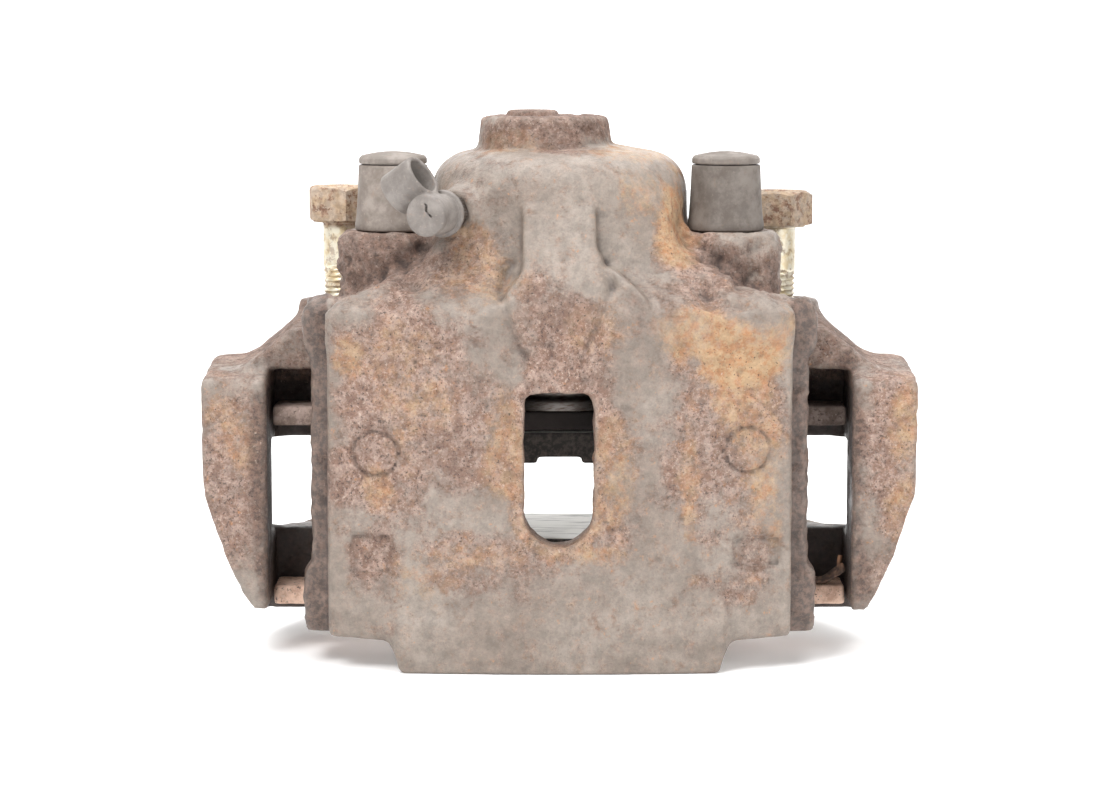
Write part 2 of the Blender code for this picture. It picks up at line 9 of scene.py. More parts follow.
import bmesh
import bpy
import numpy as np
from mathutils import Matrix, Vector


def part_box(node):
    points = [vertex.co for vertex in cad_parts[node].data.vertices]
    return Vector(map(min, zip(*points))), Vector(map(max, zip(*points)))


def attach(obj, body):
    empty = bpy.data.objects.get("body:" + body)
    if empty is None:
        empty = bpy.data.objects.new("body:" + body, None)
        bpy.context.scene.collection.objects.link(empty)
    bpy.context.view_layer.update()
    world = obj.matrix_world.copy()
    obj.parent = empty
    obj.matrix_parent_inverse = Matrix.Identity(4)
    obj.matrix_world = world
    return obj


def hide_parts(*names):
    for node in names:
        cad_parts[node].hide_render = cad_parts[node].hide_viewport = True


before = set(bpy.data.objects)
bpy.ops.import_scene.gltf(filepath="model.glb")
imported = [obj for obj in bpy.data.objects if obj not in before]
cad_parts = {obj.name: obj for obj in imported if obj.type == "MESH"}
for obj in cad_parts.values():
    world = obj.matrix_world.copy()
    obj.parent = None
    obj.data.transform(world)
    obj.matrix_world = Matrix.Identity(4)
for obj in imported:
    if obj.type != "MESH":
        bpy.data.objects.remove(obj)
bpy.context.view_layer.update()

MM = 0.001
SIDES = (("left", -1), ("right", 1))


def cad(node):
    """A CAD node's lowest and highest corners in millimetres."""
    low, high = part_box(node)
    return np.array(low) / MM, np.array(high) / MM


HOUSING_HIGH = cad("caliper_housing")[1]
CARRIER_HIGH = cad("carrier_bracket")[1]

# Driving sizes in millimetres, from the CAD model or close to it
DISC_AXIS_Y = 110.0
DISC_EDGE_R = 142.0
BRIDGE_UNDER_R = 144.0
BRIDGE_FRONT = -48.0
BRIDGE_HALF = 64.5
BRIDGE_RISE = 8.0
BRIDGE_TOP = 104.5
STRIP_WAIST = 69.0
STRIP_HALF = HOUSING_HIGH[0]
FINGER_TOP = 13.0
CYLINDER_R = 36.6
PORT_FACE = HOUSING_HIGH[2]
PORT = (-7.7, 0.0)
BOSS_X = -4.2
BOSS_TOP = 153.0
BORE_R = 27.0
BOOT_SEAT_R = 31.0
SEAL_GROOVE_R = 30.8
GUIDE = (47.3, -8.0)
EAR_BOTTOM = 101.7
EAR_TOP = 120.5
LID_SEAM = 139.7
BOLT = (64.0, 30.0)
BOLT_ACROSS = 19.0
BOLT_HEAD = 10.5
THREAD_PITCH = 1.5
ARM_INNER = 82.6
ARM_OUTER = CARRIER_HIGH[0]
ARM_FOOT = 14.3
ARM_TOP = 84.5
CARRIER_BACK = CARRIER_HIGH[1]
BEAM_FRONT = 38.5
BLOCK_FOOT = 9.0
BLOCK_TOP = 33.5
LEDGE_Y = 5.3
SLOT_TOP = 59.5
DECK_FOOT = 81.0
DECK_FRONT = -13.5
DECK_TOP = 93.0
SHOULDER_X = 76.0
BLEED_BASE = np.array([-24.0, -16.0, 127.0])
BLEED_ALONG = np.array([-0.4, -math.sqrt(1 - 0.4**2), 0.0])


# Fields


def smin(a, b, k):
    """Union with a fillet about k wide."""
    h = np.clip(0.5 + 0.5 * (b - a) / k, 0, 1)
    return b + (a - b) * h - k * h * (1 - h)


def smax(a, b, k):
    """Intersection with an edge rounded about k wide."""
    return -smin(-a, -b, k)


def slab(v, low, high):
    return np.maximum(low - v, v - high)


def step(v, low, high):
    t = np.clip((v - low) / (high - low), 0, 1)
    return t * t * (3 - 2 * t)


def disc(x, y, cx, cy, r):
    return np.hypot(x - cx, y - cy) - r


def block(spans, k):
    """A box with rounded edges, from a coordinate, a low and a high for each axis."""
    first, second, third = (slab(*span) for span in spans)
    return smax(smax(first, second, k), third, k)


def hole(x, y, z, axis, r, low, high):
    """A sharp-ended cylinder about an upright axis, to cut away."""
    return np.maximum(disc(x, y, *axis, r), slab(z, low, high))


def to_segment(u, v, start, end):
    """Distance in a plane to the straight line between two points."""
    (u0, v0), (u1, v1) = start, end
    du, dv = u1 - u0, v1 - v0
    t = np.clip(((u - u0) * du + (v - v0) * dv) / (du * du + dv * dv), 0, 1)
    return np.hypot(u - u0 - t * du, v - v0 - t * dv)


def polygon(u, v, points):
    """Signed distance to a closed outline in a plane."""
    nearest = np.full(np.broadcast(u, v).shape, 1e9, np.float32)
    inside = np.zeros(nearest.shape, bool)
    for (u0, v0), (u1, v1) in zip(points, points[1:] + points[:1]):
        nearest = np.minimum(nearest, to_segment(u, v, (u0, v0), (u1, v1)))
        crosses = (v0 > v) != (v1 > v)
        at = u0 + (v - v0) * (u1 - u0) / ((v1 - v0) or 1e-9)
        inside ^= crosses & (u < at)
    return np.where(inside, -nearest, nearest)


LATTICE = np.random.default_rng(7).random((64, 64, 64), np.float32) * 2 - 1
CORNERS = [(i, j, k) for i in (0, 1) for j in (0, 1) for k in (0, 1)]


def noise(points, size):
    """Smooth random values from -1 to 1 at points, with features about `size` across."""
    scaled = points / size
    cell = np.floor(scaled).astype(np.int64)
    f = scaled - cell
    f = f * f * (3 - 2 * f)
    total = 0
    for corner in CORNERS:
        value = LATTICE[tuple(((cell + corner) % 64).T)]
        weight = np.ones(len(points))
        for axis, side in enumerate(corner):
            weight = weight * (f[:, axis] if side else 1 - f[:, axis])
        total = total + value * weight
    return total


def rough(points, size, octaves=3):
    return sum(noise(points + 17.3 * i, size / 2**i) / 2**i for i in range(octaves))


def pitted(points, shift, size, least):
    """Scattered pits about `size` across, from 0 to 1, where the shifted noise passes `least`."""
    return np.clip(noise(points + shift, size) - least, 0, 1)


def net(field, low, high, pitch):
    """Vertices and quads of the surface where field(x, y, z) crosses zero."""
    low = np.asarray(low, float) - 2.5 * pitch
    counts = np.ceil((np.asarray(high) + 2.5 * pitch - low) / pitch).astype(int) + 1
    x, y, z = (low[a] + pitch * np.arange(counts[a], dtype=np.float32) for a in range(3))
    values = field(x[:, None, None], y[None, :, None], z[None, None, :])
    values = np.broadcast_to(values, tuple(counts)).astype(np.float32)
    inside = values < 0
    full = np.zeros(counts - 1, np.int8)
    for i, j, k in CORNERS:
        full += inside[i:counts[0] - 1 + i, j:counts[1] - 1 + j, k:counts[2] - 1 + k]
    active = (full > 0) & (full < 8)
    index = np.full(active.shape, -1, np.int64)
    index[active] = np.arange(active.sum())
    sums = np.zeros((active.sum(), 3))
    hits = np.zeros(active.sum())
    quads = []
    for axis in range(3):
        lower = [slice(None)] * 3
        upper = [slice(None)] * 3
        lower[axis] = slice(None, -1)
        upper[axis] = slice(1, None)
        a, b = values[tuple(lower)], values[tuple(upper)]
        at = np.argwhere((a < 0) != (b < 0))
        u, v = (axis + 1) % 3, (axis + 2) % 3
        keep = (at[:, u] > 0) & (at[:, v] > 0)
        keep &= (at[:, u] < counts[u] - 1) & (at[:, v] < counts[v] - 1)
        at = at[keep]
        va, vb = a[tuple(at.T)], b[tuple(at.T)]
        place = at.astype(float)
        place[:, axis] += va / (va - vb)
        corners = []
        for du, dv in ((0, 0), (-1, 0), (-1, -1), (0, -1)):
            cell = at.copy()
            cell[:, u] += du
            cell[:, v] += dv
            ids = index[tuple(cell.T)]
            corners.append(ids)
            hits += np.bincount(ids, minlength=len(hits))
            for c in range(3):
                sums[:, c] += np.bincount(ids, place[:, c], minlength=len(hits))
        quad = np.stack(corners, 1)
        quad[va >= 0] = quad[va >= 0][:, ::-1]
        quads.append(quad)
    return low + pitch * sums / hits[:, None], np.concatenate(quads)


def normals_of(points, quads):
    a, b = points[quads[:, 2]] - points[quads[:, 0]], points[quads[:, 3]] - points[quads[:, 1]]
    faces = np.cross(a, b)
    total = np.zeros_like(points)
    for corner in range(4):
        for c in range(3):
            total[:, c] += np.bincount(quads[:, corner], faces[:, c], minlength=len(points))
    return total / np.maximum(np.linalg.norm(total, axis=1), 1e-9)[:, None]


def linked(name, data):
    thing = bpy.data.objects.new(name, data)
    bpy.context.scene.collection.objects.link(thing)
    return thing


def mesh_object(name, points, quads, material, body, node):
    """Links a smooth mesh given in millimetres, riding on a body in place of a CAD node."""
    data = bpy.data.meshes.new(name)
    data.vertices.add(len(points))
    data.vertices.foreach_set("co", (np.asarray(points) * MM).astype(np.float32).ravel())
    sides = len(quads[0])
    data.loops.add(len(quads) * sides)
    data.loops.foreach_set("vertex_index", np.asarray(quads, np.int32).ravel())
    data.polygons.add(len(quads))
    data.polygons.foreach_set("loop_start", np.arange(0, len(quads) * sides, sides, dtype=np.int32))
    data.update(calc_edges=True)
    data.validate()
    data.materials.append(material)
    data.shade_smooth()
    thing = linked(name, data)
    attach(thing, body)
    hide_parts(node)
    return thing


def field_object(name, field, pitch, material, body, node, roughen=None, paint=None, margin=0.0):
    """Meshes a field, stands its skin in and out by `roughen`, and stores `paint`'s masks on it.

    The field is searched inside its CAD node's box, widened by the margin.
    """
    low, high = cad(node)
    points, quads = net(field, low - margin, high + margin, pitch)
    masks = paint(points) if paint else {}
    if roughen:
        points = points + normals_of(points, quads) * roughen(points)[:, None]
    thing = mesh_object(name, points, quads, material, body, node)
    for mask, values in masks.items():
        attribute = thing.data.attributes.new(mask, "FLOAT", "POINT")
        attribute.data.foreach_set("value", values.astype(np.float32))
    return thing


# Housing casting


def bleed_frame(x, y, z):
    """Distance along the bleed screw's axis from its base, and distance from the axis."""
    dx, dy, dz = x - BLEED_BASE[0], y - BLEED_BASE[1], z - BLEED_BASE[2]
    along = dx * BLEED_ALONG[0] + dy * BLEED_ALONG[1]
    off = np.sqrt(np.maximum(dx * dx + dy * dy + dz * dz - along * along, 0))
    return along, off


def bridge_field(x, y, z):
    ax = np.abs(x)
    crown_r = (BRIDGE_HALF**2 + BRIDGE_RISE**2) / (2 * BRIDGE_RISE)
    crown = disc(x, y, 0, BRIDGE_FRONT + crown_r, crown_r)
    waist = step(z, 25.0, 30.0) * (1 - step(z, 85.0, 91.5))
    strip_half = STRIP_HALF + 0.6 - (STRIP_HALF - STRIP_WAIST) * waist
    core = smax(crown, ax - BRIDGE_HALF, 1.2)
    strip = smax(ax - strip_half, -33.4 + 0.1 * (ax - BRIDGE_HALF) - y, 2.0)
    top = z - BRIDGE_TOP + 0.5 * step(ax, 45, 60)
    section = smax(np.minimum(core, strip), -disc(x, y, 0, DISC_AXIS_Y, BRIDGE_UNDER_R), 1.2)
    foot = 1.2 * step(ax, 12.0, 42.0) + 7.4 * step(ax, 41.0, 48.5) + 0.6 * step(ax, 50.0, 70.0)
    return smax(smax(section, foot - z, 1.8), top, 8.0)


def flare_field(x, y, z):
    ax = np.abs(x)
    t = np.clip((z - 100.0) / 27.0, 0, 1)
    half = 31.0 + 31.0 * (1 - t) ** 1.7
    front = -28.0 - 18.5 * (1 - t) ** 1.9
    shape = smax(ax - half, front - y, 6.0)
    return smax(smax(shape, slab(z, 92.0, 131.0), 8.0), y + 16.0, 4.0)


def rib_field(x, y, z):
    """The raised facet down the middle of the flare: square on its left, sweeping out on its right."""
    right = 10.0 + 15.0 * step(119.0 - z, 0.0, 18.0)
    left = -10.2 - 9.0 * step(113.0 - z, 0.0, 14.0)
    front = -36.8 - 10.9 * np.clip((129.5 - z) / 27.0, 0, 1) ** 0.95
    sides = smax(x - right, left - x, 0.8)
    shape = smax(smax(sides, front - y, 1.0), slab(z, 96.0, 129.7), 1.4)
    return smax(shape, y + 16.0, 4.0)


def groove(x, z, points, width, depth):
    """A soft furrow along a line of points on the front, as depth to take off there."""
    nearest = 1e9
    for start, end in zip(points, points[1:]):
        nearest = np.minimum(nearest, to_segment(x, z, start, end))
    return depth * np.exp(-((nearest / width) ** 2))


CREASES = [
    ([(-8.6, 79), (-9.6, 88), (-14.0, 97), (-16.5, 106), (-13.0, 113)], 1.5, 1.5),
    ([(6.6, 78), (6.0, 88), (11.0, 99), (14.5, 107), (12.4, 113)], 1.4, 1.5),
    ([(-3.0, 79), (-1.6, 86), (-3.5, 94)], 1.0, 0.8),
    ([(14.5, 107), (25.0, 99), (34.0, 92)], 2.6, 0.9),
    ([(-37.5, 121), (-39.0, 111), (-45.0, 103)], 3.0, 2.2),
    ([(35.5, 123), (35.0, 114), (42.0, 103)], 3.0, 2.2),
    ([(-30.0, 101), (-46.0, 96), (-58.0, 99)], 3.5, 0.7),
    ([(13.0, 88), (16.5, 66), (15.0, 42)], 3.8, 1.6),
    ([(-13.5, 88), (-17.0, 66), (-15.5, 42)], 3.8, 1.5),
]


def relief_field(x, y, z):
    """The dished hollow over the window, and the furrows that spread upwards from it in a V."""
    across = np.hypot((x - 0.5) / 12.0, (z - 93.0) / 15.0)
    depth = 2.4 * np.clip(1 - across**2, 0, 1)
    for points, width, deep in CREASES:
        depth = depth + groove(x, z, points, width, deep)
    over_disc = np.where(z < 96.0, step(-y, 36.0, 42.0), 1.0)
    return depth * over_disc * step(-y, 14.0, 20.0)


def ear_field(x, y, z):
    ax = np.abs(x)
    eye = smax(disc(ax, y, *GUIDE, 14.6), slab(z, EAR_BOTTOM, EAR_TOP), 3.0)
    web = block([(ax, 20.0, 50.0), (y, -21.0, 5.0), (z, EAR_BOTTOM, 119.0)], 4.0)
    outer = block([(ax, 44.0, 61.6), (y, -19.0, 2.0), (z, EAR_BOTTOM, 119.0)], 5.0)
    return smin(smin(eye, web, 4.0), outer, 4.0)


def finger_field(x, y, z):
    ax = np.abs(x)
    corner = 14.0
    dx, dy = ax - (44.3 - corner), y - (24.0 - corner)
    outline = np.hypot(np.maximum(dx, 0), np.maximum(dy, 0)) - corner
    outline = np.maximum(outline, -46.0 - y)
    slot = 15.0 - np.hypot(x, np.minimum(y + 2.0, 0) + 0 * x)
    outline = smax(outline, slot, 1.5)
    return smax(outline, slab(z, 0.0, FINGER_TOP), 2.2)


ROUND_MARKS = ((-51.0, 61.0), (52.0, 62.0))
ROUND_MARK_R = 6.2
SQUARE_MARKS = ((-58.0, -46.5, 27.0, 38.5), (48.0, 61.5, 29.0, 38.0))


def marks_field(x, y, z, solid):
    """Raised ejector rounds and shallow square recesses on the bridge's front."""
    front = y < -30
    for cx, cz in ROUND_MARKS:
        ring = np.hypot(x - cx, z - cz)
        lip = np.exp(-((ring - ROUND_MARK_R) ** 2))
        solid = solid + (1.15 * lip - 0.35 * (1 - step(ring, ROUND_MARK_R - 1, ROUND_MARK_R))) * front
    for x0, x1, z0, z1 in SQUARE_MARKS:
        inside = 1 - step(np.maximum(slab(x, x0, x1), slab(z, z0, z1)), -0.8, 0.3)
        solid = solid + 1.4 * inside * front
    return solid


def window_field(x, z):
    """The window seen from the front: rounded top corners and half an ellipse below."""
    cx, half, shoulder, bottom, top = -0.25, 9.55, 45.0, 35.4, 78.0
    upper = smax(slab(x, cx - half, cx + half), slab(z, shoulder - 0.5, top), 4.0)
    lower = (np.hypot((x - cx) / half, (z - shoulder) / (shoulder - bottom)) - 1) * 9.5
    return np.minimum(upper, lower)


def housing_field(x, y, z):
    ax = np.abs(x)
    radius = np.hypot(x, y)
    dome = 145.0 - 0.17 * np.clip(radius - 15.0, 0, 30)
    cylinder = smax(radius - CYLINDER_R, np.maximum(80.0 - z, z - dome), 11.0)
    boss_r = 18.2 + 0.9 * np.clip((BOSS_TOP - z) / 9.0, 0, 1.2)
    boss = smax(disc(x, y, BOSS_X, 0, boss_r), slab(z, 132.0, BOSS_TOP), 1.4)
    solid = smin(bridge_field(x, y, z), flare_field(x, y, z), 6.0)
    solid = smin(solid, cylinder, 7.0)
    solid = smin(solid, boss, 1.8)
    solid = smin(solid, rib_field(x, y, z), 1.2)
    solid = smin(solid, ear_field(x, y, z), 5.0)
    solid = smin(solid, finger_field(x, y, z), 6.0)
    along, off = bleed_frame(x, y, z)
    solid = smin(solid, smax(off - 7.0 + 0.04 * along, slab(along, -3.0, 14.0), 1.2), 3.0)
    solid = marks_field(x, y, z, solid)
    solid = solid + relief_field(x, y, z)
    port = smax(disc(x, y, *PORT, 7.5), slab(z, 148.0, PORT_FACE), 0.5)
    solid = np.minimum(solid, port)
    solid = np.maximum(solid, np.maximum(-z, z - PORT_FACE))
    cuts = [
        np.maximum(radius - BORE_R - 0.1, slab(z, 70.0, 129.0)),
        np.maximum(radius - BOOT_SEAT_R, slab(z, 70.0, 84.0)),
        np.maximum(radius - SEAL_GROOVE_R, slab(z, 87.7, 92.3)),
        np.maximum(window_field(x, z), slab(y, -70.0, -20.0)),
        hole(x, y, z, PORT, 4.25, 142.0, 170.0),
        hole(x, y, z, PORT, 2.0, 126.0, 170.0),
        np.maximum(off - 3.9, slab(along, 3.0, 60.0)),
        np.maximum(off - 8.0, slab(along, 14.0, 60.0)),
        hole(ax, y, z, GUIDE, 8.4, 90.0, 130.0),
        hole(ax, y, z, GUIDE, 10.6, 80.0, EAR_BOTTOM),
    ]
    for cut in cuts:
        solid = smax(solid, -cut, 0.6)
    bush_room = hole(ax, y, z, GUIDE, 11.4, EAR_TOP, 150.0)
    return smax(solid, -bush_room, 1.6)


def cover(p, patches):
    """How much patches cover points: each fades from its centre outwards, with a ragged border."""
    ragged = 0.45 * rough(p, 11.0)
    total = np.zeros(len(p))
    for centre, radii, amount in patches:
        away = np.sqrt((((p - np.array(centre)) / np.array(radii)) ** 2).sum(1))
        total = np.maximum(total, amount * (1 - step(away + ragged, 0.5, 1.3)))
    return total


# Patches in millimetres: centre, radii, amount
HOUSING_RUST = [
    ((0, -45, 56), (19, 40, 30), 1.0),
    ((-52, -40, 62), (12, 40, 34), 0.95),
    ((-44, -40, 95), (22, 30, 13), 0.9),
    ((53, -40, 74), (12, 40, 27), 0.9),
    ((-52, -40, 32), (9, 30, 12), 0.8),
    ((54, -40, 34), (8, 30, 10), 0.6),
    ((0, -45, 92), (15, 20, 16), 1.0),
    ((-50, -14, 110), (22, 24, 14), 1.0),
    ((50, -14, 110), (20, 24, 14), 0.9),
    ((-4, 0, 150), (26, 26, 9), 1.0),
    ((37, -26, 120), (10, 30, 20), 1.0),
    ((40, -30, 104), (14, 24, 10), 0.8),
    ((-30, -30, 110), (14, 24, 14), 0.8),
    ((-38, -40, 68), (25, 40, 26), 0.75),
    ((45, -40, 60), (18, 40, 34), 0.75),
    ((-20, -44, 34), (20, 20, 9), 0.6),
    ((14, -44, 38), (12, 20, 10), 0.7),
    ((0, 34, 110), (60, 20, 50), 0.7),
    ((40, 0, 6), (20, 30, 10), 0.6),
]
HOUSING_ORANGE = [
    ((53, -42, 89), (15, 30, 12), 0.95),
    ((50, -42, 70), (8, 30, 16), 0.62),
    ((37, -44, 96), (10, 20, 8), 0.7),
    ((34, -30, 126), (8, 30, 15), 0.85),
    ((15, -45, 52), (6, 30, 18), 0.5),
    ((-15, -45, 60), (6, 30, 18), 0.5),
    ((-50, -44, 50), (5, 30, 8), 0.45),
    ((-58, -44, 88), (5, 20, 7), 0.5),
    ((-34, -44, 76), (6, 20, 7), 0.4),
    ((-46, -40, 90), (14, 20, 9), 0.3),
    ((-44, -44, 70), (7, 20, 16), 0.35),
    ((56, -44, 58), (8, 20, 26), 0.55),
    ((-40, -44, 28), (12, 20, 6), 0.26),
    ((10, -44, 34), (16, 20, 5), 0.5),
    ((8, -40, 96), (10, 20, 8), 0.35),
    ((-24, -34, 108), (14, 20, 10), 0.42),
    ((-22, -44, 33), (12, 20, 5), 0.35),
    ((36, -44, 50), (3, 20, 22), 0.5),
    ((-26, -30, 118), (8, 24, 8), 0.4),
    ((22, -10, 144), (14, 20, 4), 0.5),
    ((-14, -14, 146), (10, 14, 4), 0.5),
    ((24, -34, 132), (9, 14, 8), 0.4),
    ((60, -44, 40), (4, 20, 10), 0.5),
]
# Dark patches: darker rust on the ears, boss and front, and painted shade on the side strips and inside
# the housing
HOUSING_DARK = [
    ((-50, -14, 110), (20, 20, 13), 0.8),
    ((50, -16, 110), (18, 20, 13), 0.85),
    ((-36, -24, 106), (10, 14, 11), 0.7),
    ((-4, 0, 150), (26, 26, 9), 0.62),
    ((-20, -24, 132), (12, 16, 12), 0.4),
    ((46, -42, 60), (14, 20, 10), 0.25),
    ((70, -30, 55), (6.6, 22, 75), 0.85),
    ((-70, -30, 55), (6.6, 22, 75), 0.75),
    ((0, -45, 100), (14, 16, 9), 0.45),
    ((-30, -46, 60), (11, 20, 14), 0.35),
    ((-22, -46, 94), (12, 20, 5), 0.35),
    ((26, -44, 104), (10, 20, 12), 0.5),
    ((0, 0, 50), (40, 44, 60), 0.5),
]


def housing_paint(p):
    x, y, z = p.T
    # Painted shade on the side strips beside the bridge, strong enough to turn near black
    strips = step(np.abs(x), 64.0, 65.2) * step(y, -36.0, -34.0)
    # Painted shade inside the window's walls; the edges of the cast marks are darkened too
    recess = 0.5 * (window_field(x, z) < 0.6) * step(y, -47.0, -43.5) * (y < -20)
    rim = (1 - step(window_field(x, z), 1.0, 7.0)) * (y < -40)
    marked = sum(np.exp(-((disc(x, z, cx, cz, ROUND_MARK_R) / 0.9) ** 2)) for cx, cz in ROUND_MARKS)
    for x0, x1, z0, z1 in SQUARE_MARKS:
        edge = np.maximum(slab(x, x0, x1), slab(z, z0, z1))
        marked = marked + 0.8 * np.exp(-((edge / 1.1) ** 2))
    recess = np.maximum(recess, 0.5 * marked * (y < -30))
    return {
        "rust": np.maximum(0.27 + 0.82 * cover(p, HOUSING_RUST), 1.05 * rim),
        "orange": np.maximum(0.12 + cover(p, HOUSING_ORANGE), 0.55 * rim * (z < 62)),
        "dark": np.maximum(cover(p, HOUSING_DARK), np.maximum(1.35 * strips, recess)),
    }


def housing_roughness(p):
    """How far the casting's skin stands in or out: sound metal, scale and deep pits, by place."""
    x, y, z = p.T
    ax = np.abs(x)
    machined = (np.hypot(x, y) < BOOT_SEAT_R + 0.6) & (z > 78) & (z < 130)
    machined |= (np.abs(z - FINGER_TOP) < 0.6) & (y > -33)
    machined |= disc(ax, y, *GUIDE, 8.9) < 0
    machined |= (disc(x, y, *PORT, 7.8) < 0) & (z > BOSS_TOP + 0.4)
    strips = step(ax, 64.6, 65.4) * (y < -18) * (z > 10)
    rim = (1 - step(window_field(x, z), 0.0, 7.0)) * (y < -28)
    ears = step(z, 99, 103) * (1 - step(z, 119.5, 120.3)) * step(ax, 34, 42)
    rust = cover(p, HOUSING_RUST)
    pits = np.clip(0.12 + 0.75 * rust + 1.0 * strips + 0.5 * rim + 0.6 * ears, 0, 1.5)
    coarse = rough(p, 9.0, 3)
    grain = rough(p, 2.4, 2)
    eaten = pitted(p, 40.0, 3.2, 0.12)
    scale = np.clip(noise(p + 90.0, 5.5) - 0.05, 0, 0.35)
    depth = 0.13 * coarse + pits * (0.22 * grain - 0.85 * eaten + 0.5 * scale) - 0.2 * rim
    depth -= 0.45 * strips * np.clip(noise(p * (1, 1, 0.55), 4.5), 0, 1)
    depth -= 1.9 * ears * np.clip(noise(p + 23.0, 5.2) + 0.1, 0, 1)
    depth += 0.6 * ears * step(noise(p + 61.0, 3.6), 0.05, 0.25)
    depth = np.where(machined, 0.0, depth)
    return depth * step(z, 0.3, 2.0)


# Carrier bracket casting


def carrier_field(x, y, z):
    ax = np.abs(x)
    outline = [
        (ARM_INNER, ARM_FOOT), (86.5, ARM_FOOT), (89.2, 18.5), (94.3, 29.5), (99.8, 46.5),
        (ARM_OUTER, 60.0), (ARM_OUTER, 79.0), (100.0, 82.3), (97.5, ARM_TOP), (ARM_INNER, ARM_TOP),
    ]
    front = polygon(ax, z, outline)
    arm = smax(front - 0.7, slab(y, -24.4, 12.0), 2.6)
    arm = smax(arm, z - 79.6 - 0.13 * (y + 24.0), 2.6)
    low = [(67, LEDGE_Y), (90, LEDGE_Y), (90, 12), (78, 45.5), (67, 45.5)]
    sloping = z + 0.12 * (y - 5.0) - BLOCK_TOP
    outboard = smax(polygon(ax, y, low), np.maximum(BLOCK_FOOT - z, sloping), 3.0)
    high = [(67, LEDGE_Y), (95, LEDGE_Y), (93, 18), (80, CARRIER_BACK), (67, CARRIER_BACK)]
    roof = z - DECK_TOP + 0.78 * np.maximum(ax - SHOULDER_X, 0)
    inboard = smax(polygon(ax, y, high), np.maximum(SLOT_TOP - z, roof), 2.5)
    top = [(39, 0), (40.5, DECK_FRONT), (90, DECK_FRONT), (92, 0), (90, 25), (80, CARRIER_BACK)]
    top += [(44, CARRIER_BACK), (39, BEAM_FRONT)]
    deck = smax(polygon(ax, y, top), np.maximum(DECK_FOOT - z, roof), 3.0)
    pad = smax(disc(ax, y, *GUIDE, 7.6), slab(z, DECK_FOOT, DECK_TOP), 1.0)
    lug_r = 13.0 + 2.0 * (1 - step(z, 88.0, 95.0))
    lug = smax(disc(ax, y, *BOLT, lug_r), slab(z, DECK_FOOT, CARRIER_HIGH[2]), 1.0)
    tie = block([(x, -75, 75), (y, BEAM_FRONT, 45.7), (z, 17.0, 28.5)], 3.0)
    beam = smax(slab(x, -77, 77), slab(y, BEAM_FRONT, CARRIER_BACK), 3.0)
    beam = smax(beam, slab(z, 62.0, DECK_TOP), 4.0)
    solid = smin(smin(arm, inboard, 4.0), smin(outboard, tie, 4.0), 3.0)
    solid = smin(solid, smin(deck, beam, 4.0), 4.0)
    solid = smin(np.minimum(solid, pad), lug, 4.0)
    solid = np.maximum(solid, np.maximum(y - CARRIER_BACK, ax - ARM_OUTER))
    corridor = np.maximum(ax - ARM_INNER, y - 5.25)
    corridor = np.minimum(corridor, np.maximum(ax - 66.9, y - 38.4))
    cuts = [
        np.maximum(corridor, slab(z, -10.0, 80.9)),
        np.maximum(np.hypot(x, y) - 38.2, slab(z, 40.0, 120.0)),
        np.maximum(disc(x, y, 0, DISC_AXIS_Y, DISC_EDGE_R), slab(z, BLOCK_TOP, SLOT_TOP)),
        hole(ax, y, z, BOLT, 6.2, 50.0, 120.0),
        hole(ax, y, z, GUIDE, 3.9, 70.0, 120.0),
    ]
    for cut in cuts:
        solid = smax(solid, -cut, 1.2)
    return solid


CARRIER_RUST = [
    ((-94, -20, 50), (14, 20, 40), 0.75),
    ((94, -20, 60), (14, 20, 36), 0.95),
    ((-80, 10, 88), (30, 40, 12), 0.7),
    ((80, 10, 88), (30, 40, 12), 0.7),
    ((0, 45, 60), (90, 14, 50), 0.7),
]
CARRIER_ORANGE = [
    ((97, -22, 62), (6, 14, 18), 0.6),
    ((95, -22, 40), (5, 14, 8), 0.4),
    ((-90, -22, 62), (5, 14, 10), 0.5),
    ((-96, -22, 70), (5, 14, 12), 0.4),
    ((0, 47, 78), (50, 8, 12), 0.5),
]
# Painted shade: the arms' inner faces, the hollows behind them and the deck's tops
CARRIER_SHADE = [
    ((-83, -4, 50), (5.5, 60, 70), 0.95),
    ((83, -4, 50), (5.5, 60, 70), 0.95),
    ((-76, 10, 40), (9, 30, 50), 0.8),
    ((76, 10, 40), (9, 30, 50), 0.8),
    ((-80, 6, 88), (24, 20, 10), 0.45),
    ((80, 6, 88), (24, 20, 10), 0.45),
]


def carrier_paint(p):
    x, y, z = p.T
    ax = np.abs(x)
    # Painted shade down the arms' inner flanks, strong enough to turn near black
    flank = step(ax, 62.0, 72.0) * (1 - step(ax, ARM_INNER + 2.0, ARM_INNER + 7.0))
    flank = flank * step(y, -24.0, -21.0) * (1 - step(y, 4.0, 20.0)) * (1 - step(z, 74, 81))
    # Painted shade on the carrier's upward faces
    top = 0.42 * step(z, 78.0, 82.0) + 0.25 * step(z, 86.0, 92.0)
    return {
        "rust": 0.3 + 0.8 * cover(p, CARRIER_RUST),
        "orange": 0.1 + cover(p, CARRIER_ORANGE),
        "dark": np.maximum(np.maximum(cover(p, CARRIER_SHADE), 2.1 * flank), top),
    }


def carrier_roughness(p):
    x, y, z = p.T
    ax = np.abs(x)
    machined = (disc(ax, y, *BOLT, 12.6) < 0) & (z > 97.0)
    machined |= disc(ax, y, *BOLT, 6.8) < 0
    machined |= (ax < ARM_INNER + 0.8) & (y < 8) & (z < 80)
    eaten = pitted(p, 11.0, 4.0, 0.2)
    depth = 0.18 * rough(p, 8.0, 3) + 0.12 * rough(p, 2.6, 2) - 0.45 * eaten
    return np.where(machined, 0.03 * noise(p, 2.2), depth)


# Pads


